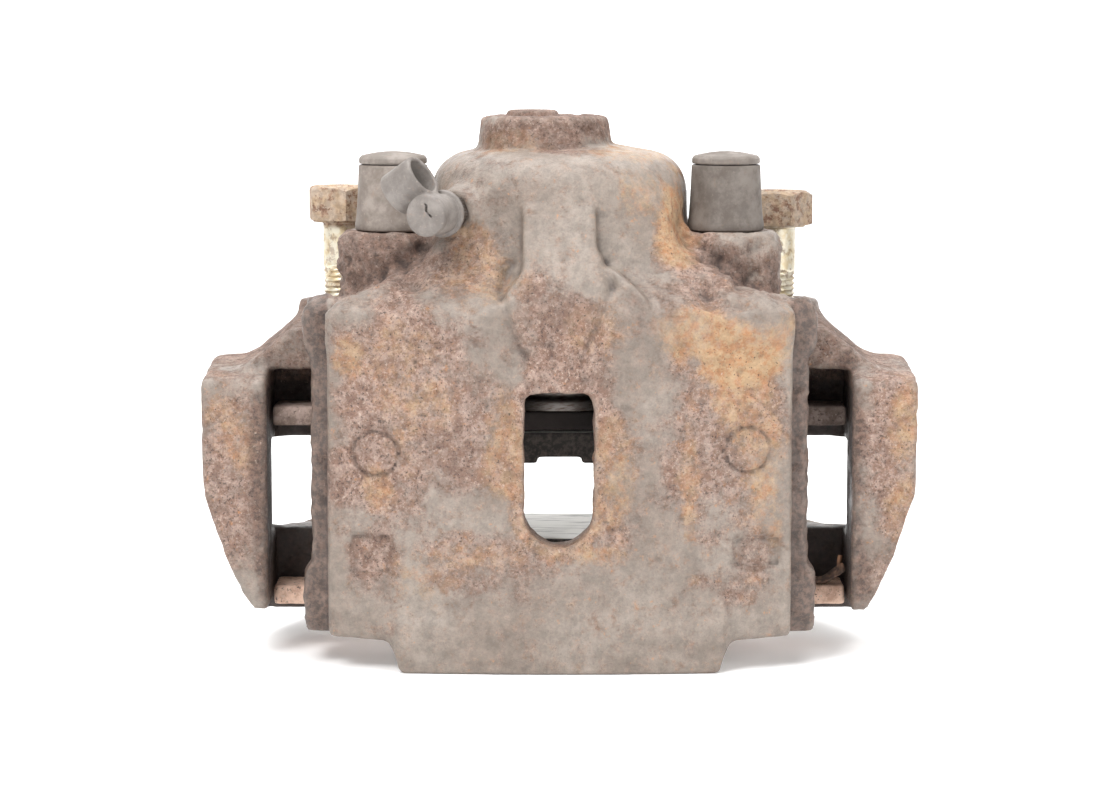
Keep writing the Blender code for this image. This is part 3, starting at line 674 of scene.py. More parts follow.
PLATE_RIGHT = [
    (40, -24), (52, -21), (64, -15), (67, -12), (81, -12), (82, -11), (82, 5), (66.4, 5),
    (66.4, 14), (60, 24), (52, 27),
]
LINING_RIGHT = [(8, -23), (38, -23), (51, -20), (58, -14), (60, 8), (56, 20), (48, 26)]


def both_halves(right):
    """A closed outline from its right half."""
    return right + [(-u, v) for u, v in reversed(right)]


def plate_field(low, high):
    def field(x, y, z):
        return smax(polygon(x, y, both_halves(PLATE_RIGHT)), slab(z, low, high), 0.9)
    return field


def lining_field(low, high, slot):
    def field(x, y, z):
        flat = polygon(x, y, both_halves(LINING_RIGHT))
        worn = 1.2 * step(np.abs(x), 44, 60)
        if slot:
            solid = smax(flat, slab(z, low + worn, high), 0.8)
            return smax(solid, -np.maximum(np.abs(x) - 6.2, z - low - 1.8), 0.5)
        return smax(flat, slab(z, low, high - worn), 0.8)
    return field


def crumbly(p):
    return 0.06 * rough(p, 5.0, 2) - 0.22 * pitted(p, 3.0, 2.4, 0.1)


def worn_lining(p):
    return 0.05 * noise(p * (0.12, 1.6, 1.0), 1.7) + 0.04 * noise(p, 2.0)


# Broken pad spring


def ribbon(path, width, thickness, twist, steps=40):
    """A bent strip along a smooth path through points, turning by `twist` radians end to end."""
    path = np.array(path, float)
    spans = len(path) - 1
    ends = np.vstack([2 * path[0] - path[1], path, 2 * path[-1] - path[-2]])
    centres = []
    for i in range(steps + 1):
        at = min(i / steps * spans, spans - 1e-9)
        k, t = int(at), at - int(at)
        a, b, c, d = ends[k:k + 4]
        centres.append(0.5 * (2 * b + (c - a) * t + (2 * a - 5 * b + 4 * c - d) * t**2
                              + (3 * b - a - 3 * c + d) * t**3))
    centres = np.array(centres)
    corners = [(-1, -0.6), (-0.8, -1), (0.8, -1), (1, -0.6), (1, 0.6), (0.8, 1), (-0.8, 1), (-1, 0.6)]
    points = []
    for i, centre in enumerate(centres):
        ahead = centres[min(i + 1, steps)] - centres[max(i - 1, 0)]
        ahead = ahead / np.linalg.norm(ahead)
        flat = np.cross(ahead, (0, 1, 0))
        flat = flat / np.linalg.norm(flat)
        side = np.cross(flat, ahead)
        turn = twist * i / steps
        wide = side * math.cos(turn) + flat * math.sin(turn)
        thick = flat * math.cos(turn) - side * math.sin(turn)
        taper = 1 - 0.35 * (i / steps) ** 2
        points += [centre + wide * u * width / 2 * taper + thick * v * thickness / 2 for u, v in corners]
    ring = len(corners)
    quads = [(i * ring + j, i * ring + (j + 1) % ring, (i + 1) * ring + (j + 1) % ring,
              (i + 1) * ring + j) for i in range(steps) for j in range(ring)]
    for base in (0, steps * ring):
        caps = [(base + a, base + b, base + c, base + d) for a, b, c, d in
                ((0, 1, 2, 3), (0, 3, 4, 7), (7, 4, 5, 6))]
        quads += caps if base else [cap[::-1] for cap in caps]
    points = np.array(points)
    return points + 0.16 * noise(points, 1.6)[:, None] * (1, 1, 1), np.array(quads)


def make_spring(material):
    """What is left of the outer pad's spring: a twisted strip that leans up against the arm."""
    ear_top = cad("outer_pad_plate")[1][2]
    leaf, leaf_quads = ribbon([(71.5, -8.5, ear_top + 0.9), (76, -9, ear_top + 1.5),
                               (79.5, -10.5, ear_top + 3.8), (81.3, -13, ear_top + 5.6)],
                              3.6, 0.9, 0.9)
    prong, prong_quads = ribbon([(78.4, -9.6, ear_top + 2.6), (80.3, -9.4, ear_top + 5.2),
                                 (80.9, -9.0, ear_top + 8.4)], 3.2, 0.9, -0.5, 24)
    mesh_object("spring_remnant", np.vstack([leaf, prong]),
                np.vstack([leaf_quads, prong_quads + len(leaf)]), material, "outer_pad",
                "pad_spring_remnant")


# Turned pieces


def rounded(profile, radius, steps=4):
    """The profile with its inner corners rounded, each by at most a third of its shorter side."""
    points = [profile[0]]
    for before, at, after in zip(profile, profile[1:], profile[2:]):
        a, b, c = (np.array(p, float) for p in (before, at, after))
        reach = min(radius, np.linalg.norm(a - b) / 3, np.linalg.norm(c - b) / 3)
        start = b + (a - b) / np.linalg.norm(a - b) * reach
        end = b + (c - b) / np.linalg.norm(c - b) * reach
        for i in range(steps + 1):
            t = i / steps
            points.append(tuple((1 - t) ** 2 * start + 2 * t * (1 - t) * b + t * t * end))
    return points + [profile[-1]]


def turned_points(rings, steps):
    """Vertices and quads of rings, each a function from angles to (radius, height)."""
    angles = np.arange(steps) * math.tau / steps
    points = []
    for ring in rings:
        radius, height = ring(angles)
        radius = np.broadcast_to(radius, angles.shape)
        height = np.broadcast_to(height, angles.shape)
        points.append(np.stack([radius * np.cos(angles), radius * np.sin(angles), height], 1))
    quads = []
    here = np.arange(steps)
    after = (here + 1) % steps
    for i in range(len(rings) - 1):
        low, high = i * steps, (i + 1) * steps
        quads.append(np.stack([low + here, low + after, high + after, high + here], 1))
    return np.concatenate(points), np.concatenate(quads)


def on_side(sign, axis):
    """Where an upright axis of the right side meets the floor, on the side of the sign."""
    return np.array([sign * axis[0], axis[1], 0])


def aim(points, at, along):
    turn = Vector((0, 0, 1)).rotation_difference(Vector(along)).to_matrix()
    return points @ np.array(turn).T + np.array(at, float)


def plain_ring(radius, height):
    return lambda angles: (max(radius, 1e-3), height)


def turned_object(name, profile, material, body, node, at=(0, 0, 0), along=(0, 0, 1), steps=96):
    """A turned piece. Its profile runs up the outside, from axis to axis or all the way round."""
    rings = [plain_ring(r, h) for r, h in profile]
    ring_object(name, rings, material, body, node, at, along, steps)


def ring_object(name, rings, material, body, node, at=(0, 0, 0), along=(0, 0, 1), steps=96):
    points, quads = turned_points(rings, steps)
    merge_ends(mesh_object(name, aim(points, at, along), quads, material, body, node), 40)


def merge_ends(thing, sharp_degrees):
    """Joins the points of each ring on the axis into one, and keeps the turned edges sharp."""
    mesh = bmesh.new()
    mesh.from_mesh(thing.data)
    bmesh.ops.remove_doubles(mesh, verts=mesh.verts, dist=0.004 * MM)
    mesh.to_mesh(thing.data)
    mesh.free()
    thing.data.shade_smooth()
    thing.data.set_sharp_from_angle(angle=math.radians(sharp_degrees))


def bush_profile():
    flange, seat, top = EAR_BOTTOM - 0.3, EAR_TOP + 0.3, LID_SEAM - 0.3
    outer = [(4.8, 99.3), (10.0, 99.3), (10.0, flange), (8.0, flange), (8.0, seat), (10.8, seat)]
    outer += [(10.9, seat + 1.6), (10.5, seat + 4.0), (10.15, 130.0), (9.75, top)]
    inner = [(6.8, top), (6.8, 112.0), (4.8, 112.0), (4.8, 99.3)]
    return rounded(outer + inner, 0.6)


def cap_profile():
    """The dust cap: a shallow dome with a raised rim and fine moulded rings, and its spigot."""
    dome = [(9.45, LID_SEAM), (9.7, LID_SEAM + 0.35), (9.65, LID_SEAM + 1.5), (9.2, LID_SEAM + 2.1)]
    rings = []
    for i in range(28):
        radius = 8.9 - 8.4 * i / 27
        height = 143.1 - 1.2 * (radius / 9.0) ** 2 + (0.10 if i % 3 == 0 else 0.0)
        rings.append((radius, height))
    spigot = [(0.0, 133.5), (6.5, 133.5), (6.5, LID_SEAM)]
    return spigot + rounded(dome, 0.5) + rings + [(0.0, 143.2)]


def piston_profile():
    """A hollow cup, open towards the pad, with a groove for its boot."""
    low, high = cad("piston")
    rim, end, outer, wall = low[2], high[2], high[0], 21.0
    inside = [(0, end - 9), (wall, end - 11), (wall, rim), (outer, rim), (outer, rim + 3)]
    groove_walls = [(outer - 2, rim + 4), (outer - 2, rim + 7), (outer, rim + 8)]
    return rounded(inside + groove_walls + [(outer, end - 1.5), (outer - 1.5, end), (0, end)], 0.6)


def boot_profile():
    """A rubber boot with one fold, its lip on the piston and its root in the cylinder's mouth."""
    low, high = cad("piston_dust_boot")
    lip, root, inner = low[2], high[2], BORE_R
    fold = [(inner, lip + 0.2), (28.2, lip), (29.7, lip + 0.6), (30.5, lip + 1.6), (29.4, lip + 2.5)]
    fold += [(28.6, lip + 3.1), (29.6, lip + 3.8), (30.7, lip + 4.3), (30.7, root), (inner, root)]
    return rounded(fold + [(inner, lip + 0.2)], 0.8)


def seal_profile():
    low, high = cad("piston_seal")
    outer = high[0]
    square = [(BORE_R, low[2]), (outer, low[2]), (outer, high[2]), (BORE_R, high[2])]
    return rounded(square + [(BORE_R, low[2])], 0.5)


def hex_radius(angles, across_flats):
    wedge = math.pi / 3
    return across_flats / 2 / np.cos((angles + wedge / 2) % wedge - wedge / 2)


def hex_ring(across_flats, height, trim=0.0):
    return lambda angles: (hex_radius(angles, across_flats) - trim, height)


def pin_rings(side):
    """A guide pin: a threaded end, a ground shank and a head with a hexagon socket."""
    low, high = cad(f"guide_pin_{side}")
    foot, top = low[2], high[2]
    shape = [(0, foot), (3.0, foot), (3.6, foot + 0.7)]
    for i in range(10):
        shape += [(3.6, foot + 1 + i), (3.1, foot + 1.5 + i)]
    shape += [(3.6, DECK_TOP + 0.3), (4.3, DECK_TOP + 0.4), (4.5, DECK_TOP + 0.9), (4.5, top - 6)]
    shape += [(6.2, top - 6), (6.4, top - 5.7), (6.4, top - 0.5), (6.0, top), (4.4, top)]
    rings = [plain_ring(r, z) for r, z in shape]
    return rings + [hex_ring(7.0, top - 0.4), hex_ring(7.0, top - 4.0), plain_ring(0, top - 4.6)]


def bleeder_rings():
    """The bleed screw along its axis: a shank, a hexagon and a nipple with a barb."""
    shank = [(0, 4.6), (3.4, 4.6), (3.6, 5.0), (3.6, 14.3), (4.3, 14.35)]
    nipple = [(3.9, 19.0), (3.0, 19.6), (2.9, 20.5), (2.9, 23.0), (3.3, 24.5), (3.3, 26.0)]
    nipple += [(2.7, 28.5), (1.0, 28.5), (0.8, 27.0), (0, 27.0)]
    rings = [plain_ring(r, h) for r, h in shank]
    rings += [hex_ring(9.0, 14.5, 0.15), hex_ring(9.0, 14.9)]
    rings += [hex_ring(9.0, 18.6), hex_ring(9.0, 18.95, 0.3)]
    return rings + [plain_ring(r, h) for r, h in nipple]


def make_bore_parts(steel, rubber):
    turned_object("piston_cup", piston_profile(), steel, "piston", "piston")
    turned_object("boot_bellows", boot_profile(), rubber, "housing", "piston_dust_boot")
    turned_object("seal_ring", seal_profile(), rubber, "housing", "piston_seal")
    for side, sign in SIDES:
        ring_object(f"pin_{side}", pin_rings(side), steel, "carrier", f"guide_pin_{side}",
                    at=on_side(sign, GUIDE), steps=72)
    ring_object("bleeder", bleeder_rings(), steel, "bleed_screw", "bleed_screw",
                at=BLEED_BASE, along=BLEED_ALONG, steps=72)


def bolt_rings(seat, foot):
    """An M12 hexagon bolt from the point of its thread up to the dish in its head."""
    rings = [plain_ring(0.0, foot), plain_ring(4.4, foot)]
    thread_top = seat - 12.5

    def thread(z):
        def ring(angles):
            phase = (z / THREAD_PITCH - angles / math.tau) % 1
            ridge = 1 - np.abs(2 * phase - 1)
            fade = min(1, (z - foot) / 2.0, max(0, (thread_top - z) / 2.0))
            outer = 5.9 - max(0, 1.5 - (z - foot))
            return outer - 0.62 * (1 - ridge) ** 0.8 * max(fade, 0.05), z
        return ring

    count = int((thread_top - foot) / (THREAD_PITCH / 9))
    rings += [thread(foot + (thread_top - foot) * i / count) for i in range(count + 1)]
    rings += [plain_ring(5.85, thread_top + 0.4), plain_ring(5.85, seat - 0.6)]
    rings += [plain_ring(6.4, seat), plain_ring(8.8, seat), plain_ring(8.9, seat + 0.45)]
    top = seat + BOLT_HEAD

    def flats(height, trim):
        def ring(angles):
            across = hex_radius(angles, BOLT_ACROSS)
            drop = np.maximum(across - 9.35, 0) * 0.6
            return across - trim, height - drop
        return ring

    def under(angles):
        across = hex_radius(angles, BOLT_ACROSS)
        return across - 0.12, seat + 0.5 + np.maximum(across - 9.9, 0) * 0.3

    rings += [under, lambda a: (hex_radius(a, BOLT_ACROSS), seat + 1.1)]
    rings += [flats(top - 0.25, 0.0), flats(top - 0.05, 0.25)]
    rings += [lambda a: (np.minimum(hex_radius(a, BOLT_ACROSS), 9.1), top)]
    rings += [plain_ring(8.0, top), plain_ring(7.4, top - 0.35), plain_ring(6.5, top - 1.0)]
    rings += [plain_ring(3.0, top - 1.15), plain_ring(0.0, top - 1.15)]
    return rings


def make_bolts(material):
    for side, sign in SIDES:
        node = f"mounting_bolt_{side}"
        low, high = cad(node)
        seat = high[2] - BOLT_HEAD
        points, quads = turned_points(bolt_rings(seat, low[2]), 72)
        turn = math.radians(8 if sign < 0 else 21)
        cos, sin = math.cos(turn), math.sin(turn)
        points = points @ np.array([[cos, sin, 0], [-sin, cos, 0], [0, 0, 1]])
        place = on_side(sign, BOLT)
        points = aim(points, place, (0, 0, 1))
        eaten = pitted(points, 5.0, 2.5, 0.1) * (points[:, 2] > seat - 1)
        outward = points - place
        outward[:, 2] = 0
        points = points - outward * (eaten * 0.018)[:, None]
        merge_ends(mesh_object(f"bolt_{side}", points, quads, material, node, node), 32)


# Bleed screw's rubber cap

LOOP_CENTRE = np.array([-41.5, -37.0, 134.8])
LOOP_TILT = math.radians(36)
LOOP_LEAN = math.radians(30)
LOOP_AXIS = np.array([math.cos(LOOP_LEAN) * math.cos(LOOP_TILT), -math.sin(LOOP_LEAN),
                      math.cos(LOOP_LEAN) * math.sin(LOOP_TILT)])
LOOP_ACROSS = np.array([math.sin(LOOP_TILT), 0.0, -math.cos(LOOP_TILT)])
LOOP_THROUGH = np.cross(LOOP_AXIS, LOOP_ACROSS)


def bleed_cap_field(x, y, z):
    """The cap's barrel, the tube of its strap loop, which leans towards the front, and their web."""
    along, off = bleed_frame(x, y, z)
    radius = 5.25 + 0.35 * np.clip((along - 20.5) / 3, 0, 1) + 0.25 * step(along, 29.2, 29.9)
    barrel = smax(off - radius, slab(along, 20.4, 32.3), 0.9)
    collar = smax(off - 6.6, slab(along, 20.4, 21.9), 0.6)
    from_centre = [v - c for v, c in zip((x, y, z), LOOP_CENTRE)]
    length, across, through = (
        sum(v * a for v, a in zip(from_centre, axis))
        for axis in (LOOP_AXIS, LOOP_ACROSS, LOOP_THROUGH)
    )
    loop = smax((np.hypot(across / 6.3, through / 4.7) - 1) * 5.2, np.abs(length) - 5.8, 0.7)
    web = smax(smax(off - 8.0, slab(along, 21.5, 28.5), 1.0), slab(across, -5.0, 4.0), 1.0)
    web = np.maximum(web, np.maximum(3.0 - (z - BLEED_BASE[2]), x + 30.5))
    solid = smin(smin(np.minimum(barrel, collar), web, 1.2), loop, 1.2)
    hole = np.maximum((np.hypot(across / 5.0, through / 3.5) - 1) * 4.0, -6.5 - length)
    solid = smax(solid, -hole, 0.4)
    inside = np.maximum(off - 3.6, slab(along, 10.0, 29.2))
    solid = smax(solid, -inside, 0.4)
    crack_x = BLEED_BASE[0] + 32.0 * BLEED_ALONG[0] + 1.2 + 0.35 * np.sin(z * 1.9)
    crack = np.maximum(np.abs(x + 0.45 * (z - BLEED_BASE[2]) - crack_x) - 0.26, slab(z, 126.4, 130.2))
    crack = np.maximum(crack, 31.2 - along)
    return smax(solid, -crack, 0.2)


# Materials


class Nodes:
    """A small writer for one material's node tree."""

    def __init__(self, name, roughness=0.8, metallic=0.0):
        self.material = bpy.data.materials.new(name)
        self.material.use_nodes = True
        self.tree = self.material.node_tree
        self.shader = self.tree.nodes["Principled BSDF"]
        self.shader.inputs["Roughness"].default_value = roughness
        self.shader.inputs["Metallic"].default_value = metallic
        self.coords = self.tree.nodes.new("ShaderNodeTexCoord").outputs["Object"]

    def node(self, kind, **settings):
        made = self.tree.nodes.new("ShaderNode" + kind)
        for key, value in settings.items():
            setattr(made, key, value)
        return made

    def link(self, source, target):
        self.tree.links.new(source, target)

    def feed(self, socket, value):
        if isinstance(value, bpy.types.NodeSocket):
            self.link(value, socket)
        elif isinstance(value, tuple) and len(value) == 3 and socket.type == "RGBA":
            socket.default_value = (*value, 1)
        else:
            socket.default_value = value

    def math(self, operation, a, b=0.0, clamp=False):
        made = self.node("Math", operation=operation, use_clamp=clamp)
        self.feed(made.inputs[0], a)
        self.feed(made.inputs[1], b)
        return made.outputs[0]

    def times(self, a, b):
        return self.math("MULTIPLY", a, b)

    def noise(self, size_mm, detail=3.0, rough=0.55, shift=0.0, stretch=None):
        coords = self.coords
        if shift or stretch:
            mapping = self.node("Mapping")
            self.link(coords, mapping.inputs["Vector"])
            mapping.inputs["Location"].default_value = (shift, shift * 0.7, -shift)
            if stretch:
                mapping.inputs["Scale"].default_value = stretch
            coords = mapping.outputs[0]
        made = self.node("TexNoise")
        self.link(coords, made.inputs["Vector"])
        made.inputs["Scale"].default_value = 1000.0 / size_mm
        made.inputs["Detail"].default_value = detail
        made.inputs["Roughness"].default_value = rough
        return made.outputs["Fac"]

    def ramp(self, value, low, high, to_low=0.0, to_high=1.0):
        made = self.node("MapRange", interpolation_type="SMOOTHSTEP")
        self.feed(made.inputs["Value"], value)
        made.inputs["From Min"].default_value = low
        made.inputs["From Max"].default_value = high
        made.inputs["To Min"].default_value = to_low
        made.inputs["To Max"].default_value = to_high
        return made.outputs["Result"]

    def mix(self, mask, a, b, blend="MIX"):
        made = self.node("Mix", data_type="RGBA", blend_type=blend)
        self.feed(made.inputs[0], mask)
        self.feed(made.inputs[6], a)
        self.feed(made.inputs[7], b)
        return made.outputs[2]

    def patchy(self, a, b, low, high, *grain, most=1.0):
        """Colour a with patches of b, where the noise climbs from low to high."""
        return self.mix(self.ramp(self.noise(*grain), low, high, 0.0, most), a, b)

    def place(self, axis):
        """The X, Y or Z coordinate of the point being shaded, in metres."""
        made = self.node("SeparateXYZ")
        self.link(self.coords, made.inputs[0])
        return made.outputs[axis]

    def shaded(self, colour, tone):
        """The colour multiplied by a number."""
        shade = self.node("CombineColor")
        for channel in range(3):
            self.link(tone, shade.inputs[channel])
        return self.mix(1.0, colour, shade.outputs[0], "MULTIPLY")

    def shaded_on_right(self, colour, right_shade):
        """The colour darkened on the right-hand pieces, as painted shade."""
        return self.shaded(colour, self.ramp(self.place(0), -0.01, 0.01, 1.0, right_shade))

    def bump(self, height, strength, distance_mm, after=None):
        made = self.node("Bump")
        made.inputs["Strength"].default_value = strength
        made.inputs["Distance"].default_value = distance_mm * MM
        self.feed(made.inputs["Height"], height)
        if after:
            self.link(after, made.inputs["Normal"])
        return made.outputs["Normal"]

    def finish(self, colour, roughness=None, normal=None):
        self.feed(self.shader.inputs["Base Color"], colour)
        if roughness is not None:
            self.feed(self.shader.inputs["Roughness"], roughness)
        if normal is not None:
            self.link(normal, self.shader.inputs["Normal"])
        return self.material


GREY_IRON = (0.196, 0.158, 0.130)
PALE_IRON = (0.255, 0.215, 0.182)
BROWN_IRON = (0.062, 0.043, 0.036)
PINK_RUST = (0.320, 0.228, 0.188)
RED_RUST = (0.200, 0.120, 0.090)
ORANGE_RUST = (0.385, 0.190, 0.088)
OCHRE = (0.430, 0.295, 0.168)
# Dark of the pits, also used as painted shade in concave creases
DARK_PIT_AND_SHADE = (0.040, 0.029, 0.026)
PALE_FLECK = (0.480, 0.385, 0.320)
MURKY_RUST = (0.190, 0.118, 0.090)
# Near black, used only as painted shade in the deepest shaded places
SHADE_BLACK = (0.040, 0.032, 0.030)


def rusty_iron(name):
    """Old cast iron: grey skin, granular pink and orange rust, pits and pale flecks, with painted shade
    in creases and a painted highlight on edges.

    The mesh's rust, orange and dark attributes say where each lies, the dark one marking both darker rust
    and painted shade; noise breaks up their borders.
    """
    n = Nodes(name)
    clump = n.math("SUBTRACT", n.noise(4.5, 6.0, 0.7, 0.11), 0.5)
    crumb = n.math("SUBTRACT", n.noise(1.3, 4.0, 0.7, 0.23), 0.5)
    ragged = n.math("ADD", n.times(clump, 1.5), n.times(crumb, 0.9))

    def mask(attribute, low, high, reach=1.0):
        value = n.node("Attribute", attribute_name=attribute).outputs["Fac"]
        return n.ramp(n.math("ADD", value, n.times(ragged, reach)), low, high)

    skin = n.patchy(GREY_IRON, PALE_IRON, 0.36, 0.64, 26.0, 5.0, 0.6)
    skin = n.patchy(skin, BROWN_IRON, 0.52, 0.74, 7.0, 5.0, 0.7, 0.37, most=0.4)
    grit = n.noise(0.9, 3.0, 0.7, 0.51)
    rust = n.patchy(PINK_RUST, RED_RUST, 0.40, 0.58, 2.6, 5.0, 0.72, 0.67)
    rust = n.mix(n.ramp(grit, 0.56, 0.68, 0.0, 0.6), rust, PALE_FLECK)
    rust = n.mix(n.ramp(grit, 0.44, 0.36, 0.0, 0.80), rust, BROWN_IRON)
    rusty = mask("rust", 0.15, 1.05)
    colour = n.mix(rusty, skin, rust)
    glow = n.patchy(OCHRE, ORANGE_RUST, 0.40, 0.62, 3.0, 4.0, 0.7, 0.83)
    colour = n.mix(n.times(mask("orange", 0.15, 1.15), 0.88), colour, glow)
    fleck_rust = n.ramp(n.noise(2.2, 5.0, 0.75, 1.3), 0.60, 0.72, 0.0, 0.75)
    colour = n.mix(fleck_rust, colour, ORANGE_RUST)
    # Darker rust where the dark attribute lies; on the arms' inner faces, the carrier's tops, the side
    # strips and recesses this is painted shade
    murk_and_shade = n.patchy(BROWN_IRON, MURKY_RUST, 0.40, 0.62, 1.7, 6.0, 0.76, 2.6)
    colour = n.mix(n.times(mask("dark", 0.12, 1.05), 0.84), colour, murk_and_shade)
    # Painted shade: near black where the dark attribute passes 1.1, on the housing's side strips and the
    # carrier arms' inner flanks
    painted_deep_shade = n.node("Attribute", attribute_name="dark").outputs["Fac"]
    colour = n.mix(n.ramp(painted_deep_shade, 1.1, 1.9, 0.0, 0.8), colour, SHADE_BLACK)
    tone = n.ramp(n.noise(4.2, 8.0, 0.82, 0.97), 0.28, 0.72, 0.72, 1.28)
    colour = n.shaded(colour, tone)
    pitting = n.ramp(n.noise(0.7, 2.0, 0.6, 1.5), 0.62, 0.72, 0.0, 0.85)
    colour = n.mix(n.times(pitting, n.ramp(rusty, 0.0, 1.0, 0.25, 1.0)), colour, DARK_PIT_AND_SHADE)
    flecks = n.ramp(n.noise(1.1, 4.0, 0.7, 1.7), 0.62, 0.72, 0.0, 0.7)
    colour = n.mix(n.times(flecks, n.ramp(rusty, 0.1, 0.9)), colour, PALE_FLECK)
    # Painted shade in concave creases and a painted highlight on convex edges, by pointiness
    point = n.node("NewGeometry").outputs["Pointiness"]
    colour = n.mix(n.ramp(point, 0.495, 0.43, 0.0, 0.75), colour, DARK_PIT_AND_SHADE)
    colour = n.mix(n.ramp(point, 0.515, 0.58, 0.0, 0.45), colour, PALE_IRON)
    mottle = n.times(n.math("SUBTRACT", n.noise(2.4, 4.0, 0.6, 2.2), 0.5), 0.5)
    rough_map = n.math("ADD", n.ramp(rusty, 0.0, 0.8, 0.44, 0.86), mottle, clamp=True)
    crust = n.times(n.noise(2.8, 7.0, 0.76, 1.1), n.ramp(rusty, 0.0, 0.9, 0.35, 1.0))
    scale = n.bump(crust, 0.8, 1.0)
    fine = n.bump(n.noise(0.9, 4.0, 0.72, 1.5), 0.7, 0.35, scale)
    return n.finish(colour, rough_map, fine)


def rust_plate_material(name, light, dark, right_shade):
    n = Nodes(name)
    colour = n.patchy(light, dark, 0.42, 0.6, 4.0, 6.0, 0.7)
    colour = n.patchy(colour, (0.10, 0.07, 0.062), 0.58, 0.68, 1.2, 4.0, 0.7, 0.4)
    colour = n.patchy(colour, (0.66, 0.52, 0.43), 0.64, 0.72, 0.9, 3.0, 0.6, 0.9)
    # Painted shade: near black on the inner plate's middle, inside the housing
    shade_in_housing = n.times(n.ramp(n.math("ABSOLUTE", n.place(0)), 0.064, 0.058),
                    n.ramp(n.place(2), 0.050, 0.055))
    # Painted shade on the right-hand plate
    colour = n.shaded_on_right(n.mix(shade_in_housing, colour, SHADE_BLACK), right_shade)
    normal = n.bump(n.noise(1.4, 6.0, 0.75, 0.6), 0.8, 0.5)
    return n.finish(colour, 0.88, normal)


def spring_material():
    """Dark scaled spring steel, rusted orange towards its tip."""
    n = Nodes("rusty_spring_steel")
    colour = n.patchy((0.085, 0.055, 0.042), (0.19, 0.115, 0.08), 0.40, 0.62, 2.0, 5.0, 0.7)
    tip = n.ramp(n.place(2), 0.0235, 0.0265, 0.0, 0.85)
    colour = n.mix(tip, colour, n.mix(n.noise(1.2, 4.0), (0.46, 0.24, 0.13), (0.34, 0.17, 0.10)))
    return n.finish(colour, 0.85, n.bump(n.noise(1.0, 5.0, 0.7), 0.7, 0.3))


def lining_material():
    """Worn brake lining: pale scored face, its near white partly a painted reflection, and dark sides."""
    n = Nodes("brake_lining")
    score = n.noise(1.0, 3.0, 0.6, 0.2, (0.05, 1.0, 0.3))
    # The face's near white is partly worn colour and partly a painted reflection of the bright backdrop
    pale = n.mix(n.ramp(score, 0.34, 0.46), (0.20, 0.19, 0.18), (0.95, 0.94, 0.90))
    dark = n.patchy((0.035, 0.032, 0.030), (0.10, 0.085, 0.075), 0.4, 0.65, 1.5, 4.0, 0.7)
    normal_z = n.node("SeparateXYZ")
    n.link(n.node("NewGeometry").outputs["Normal"], normal_z.inputs[0])
    face = n.ramp(n.math("ABSOLUTE", normal_z.outputs[2]), 0.7, 0.95)
    colour = n.mix(face, dark, pale)
    normal = n.bump(score, 0.35, 0.15, n.bump(n.noise(0.8, 4.0, 0.7), 0.2, 0.1))
    return n.finish(colour, n.ramp(face, 0.0, 1.0, 0.85, 0.45), normal)


def rubber_material(name, base, dusty, seed, right_shade=1.0):
    """Old rubber or plastic under dust. Pieces on the right are painted darker as shade."""
    n = Nodes(name, 0.7)
    dust = n.ramp(n.noise(8.0, 6.0, 0.68, seed), 0.40, 0.66)
    colour = n.mix(dust, base, dusty)
    colour = n.mix(n.times(n.ramp(n.noise(0.7, 2.0, 0.5, seed + 1), 0.62, 0.74), 0.35), colour,
                   (0.34, 0.28, 0.24))
    colour = n.mix(n.times(n.ramp(n.noise(2.6, 5.0, 0.7, seed + 2), 0.58, 0.72), 0.5), colour,
                   (0.26, 0.17, 0.12))
    # Painted shade on the right-hand pieces
    colour = n.shaded_on_right(colour, right_shade)
    normal = n.bump(n.noise(1.2, 5.0, 0.65, seed), 0.25, 0.15)
    rough_map = n.ramp(n.noise(5.0, 4.0, 0.6, seed + 3), 0.35, 0.7, 0.55, 0.85)
    return n.finish(colour, rough_map, normal)


def zinc_material():
    """Yellow zinc plate, worn pale on the shank and rusting brown on the head."""
    n = Nodes("yellow_zinc_bolt", 0.45)
    plate = n.patchy((0.82, 0.76, 0.62), (0.70, 0.58, 0.38), 0.4, 0.62, 3.0, 4.0, 0.6)
    rust = n.patchy((0.17, 0.092, 0.06), (0.36, 0.235, 0.16), 0.42, 0.62, 1.6, 5.0, 0.7, 0.7)
    head = n.ramp(n.place(2), 0.1185, 0.1205)
    patch = n.ramp(n.noise(2.6, 6.0, 0.7, 1.4), 0.50, 0.60)
    where = n.math("MAXIMUM", n.times(head, n.ramp(patch, 0.0, 1.0, 0.72, 1.0)),
                   n.times(patch, 0.6))
    # Painted shade on the right-hand bolt
    colour = n.shaded_on_right(n.mix(where, plate, rust), 0.78)
    n.feed(n.shader.inputs["Metallic"], n.ramp(where, 0.0, 1.0, 0.75, 0.05))
    normal = n.bump(n.noise(0.9, 5.0, 0.7), 0.35, 0.2)
    return n.finish(colour, n.ramp(where, 0.0, 1.0, 0.38, 0.85), normal)


def steel_material(name, base, stain, amount):
    n = Nodes(name, 0.4, 0.9)
    marks = n.noise(2.4, 5.0, 0.65, 0.2, (1.0, 1.0, 6.0))
    colour = n.mix(n.times(n.ramp(marks, 0.45, 0.65), amount), base, stain)
    normal = n.bump(marks, 0.15, 0.05)
    return n.finish(colour, n.ramp(marks, 0.3, 0.7, 0.3, 0.6), normal)


# Studio


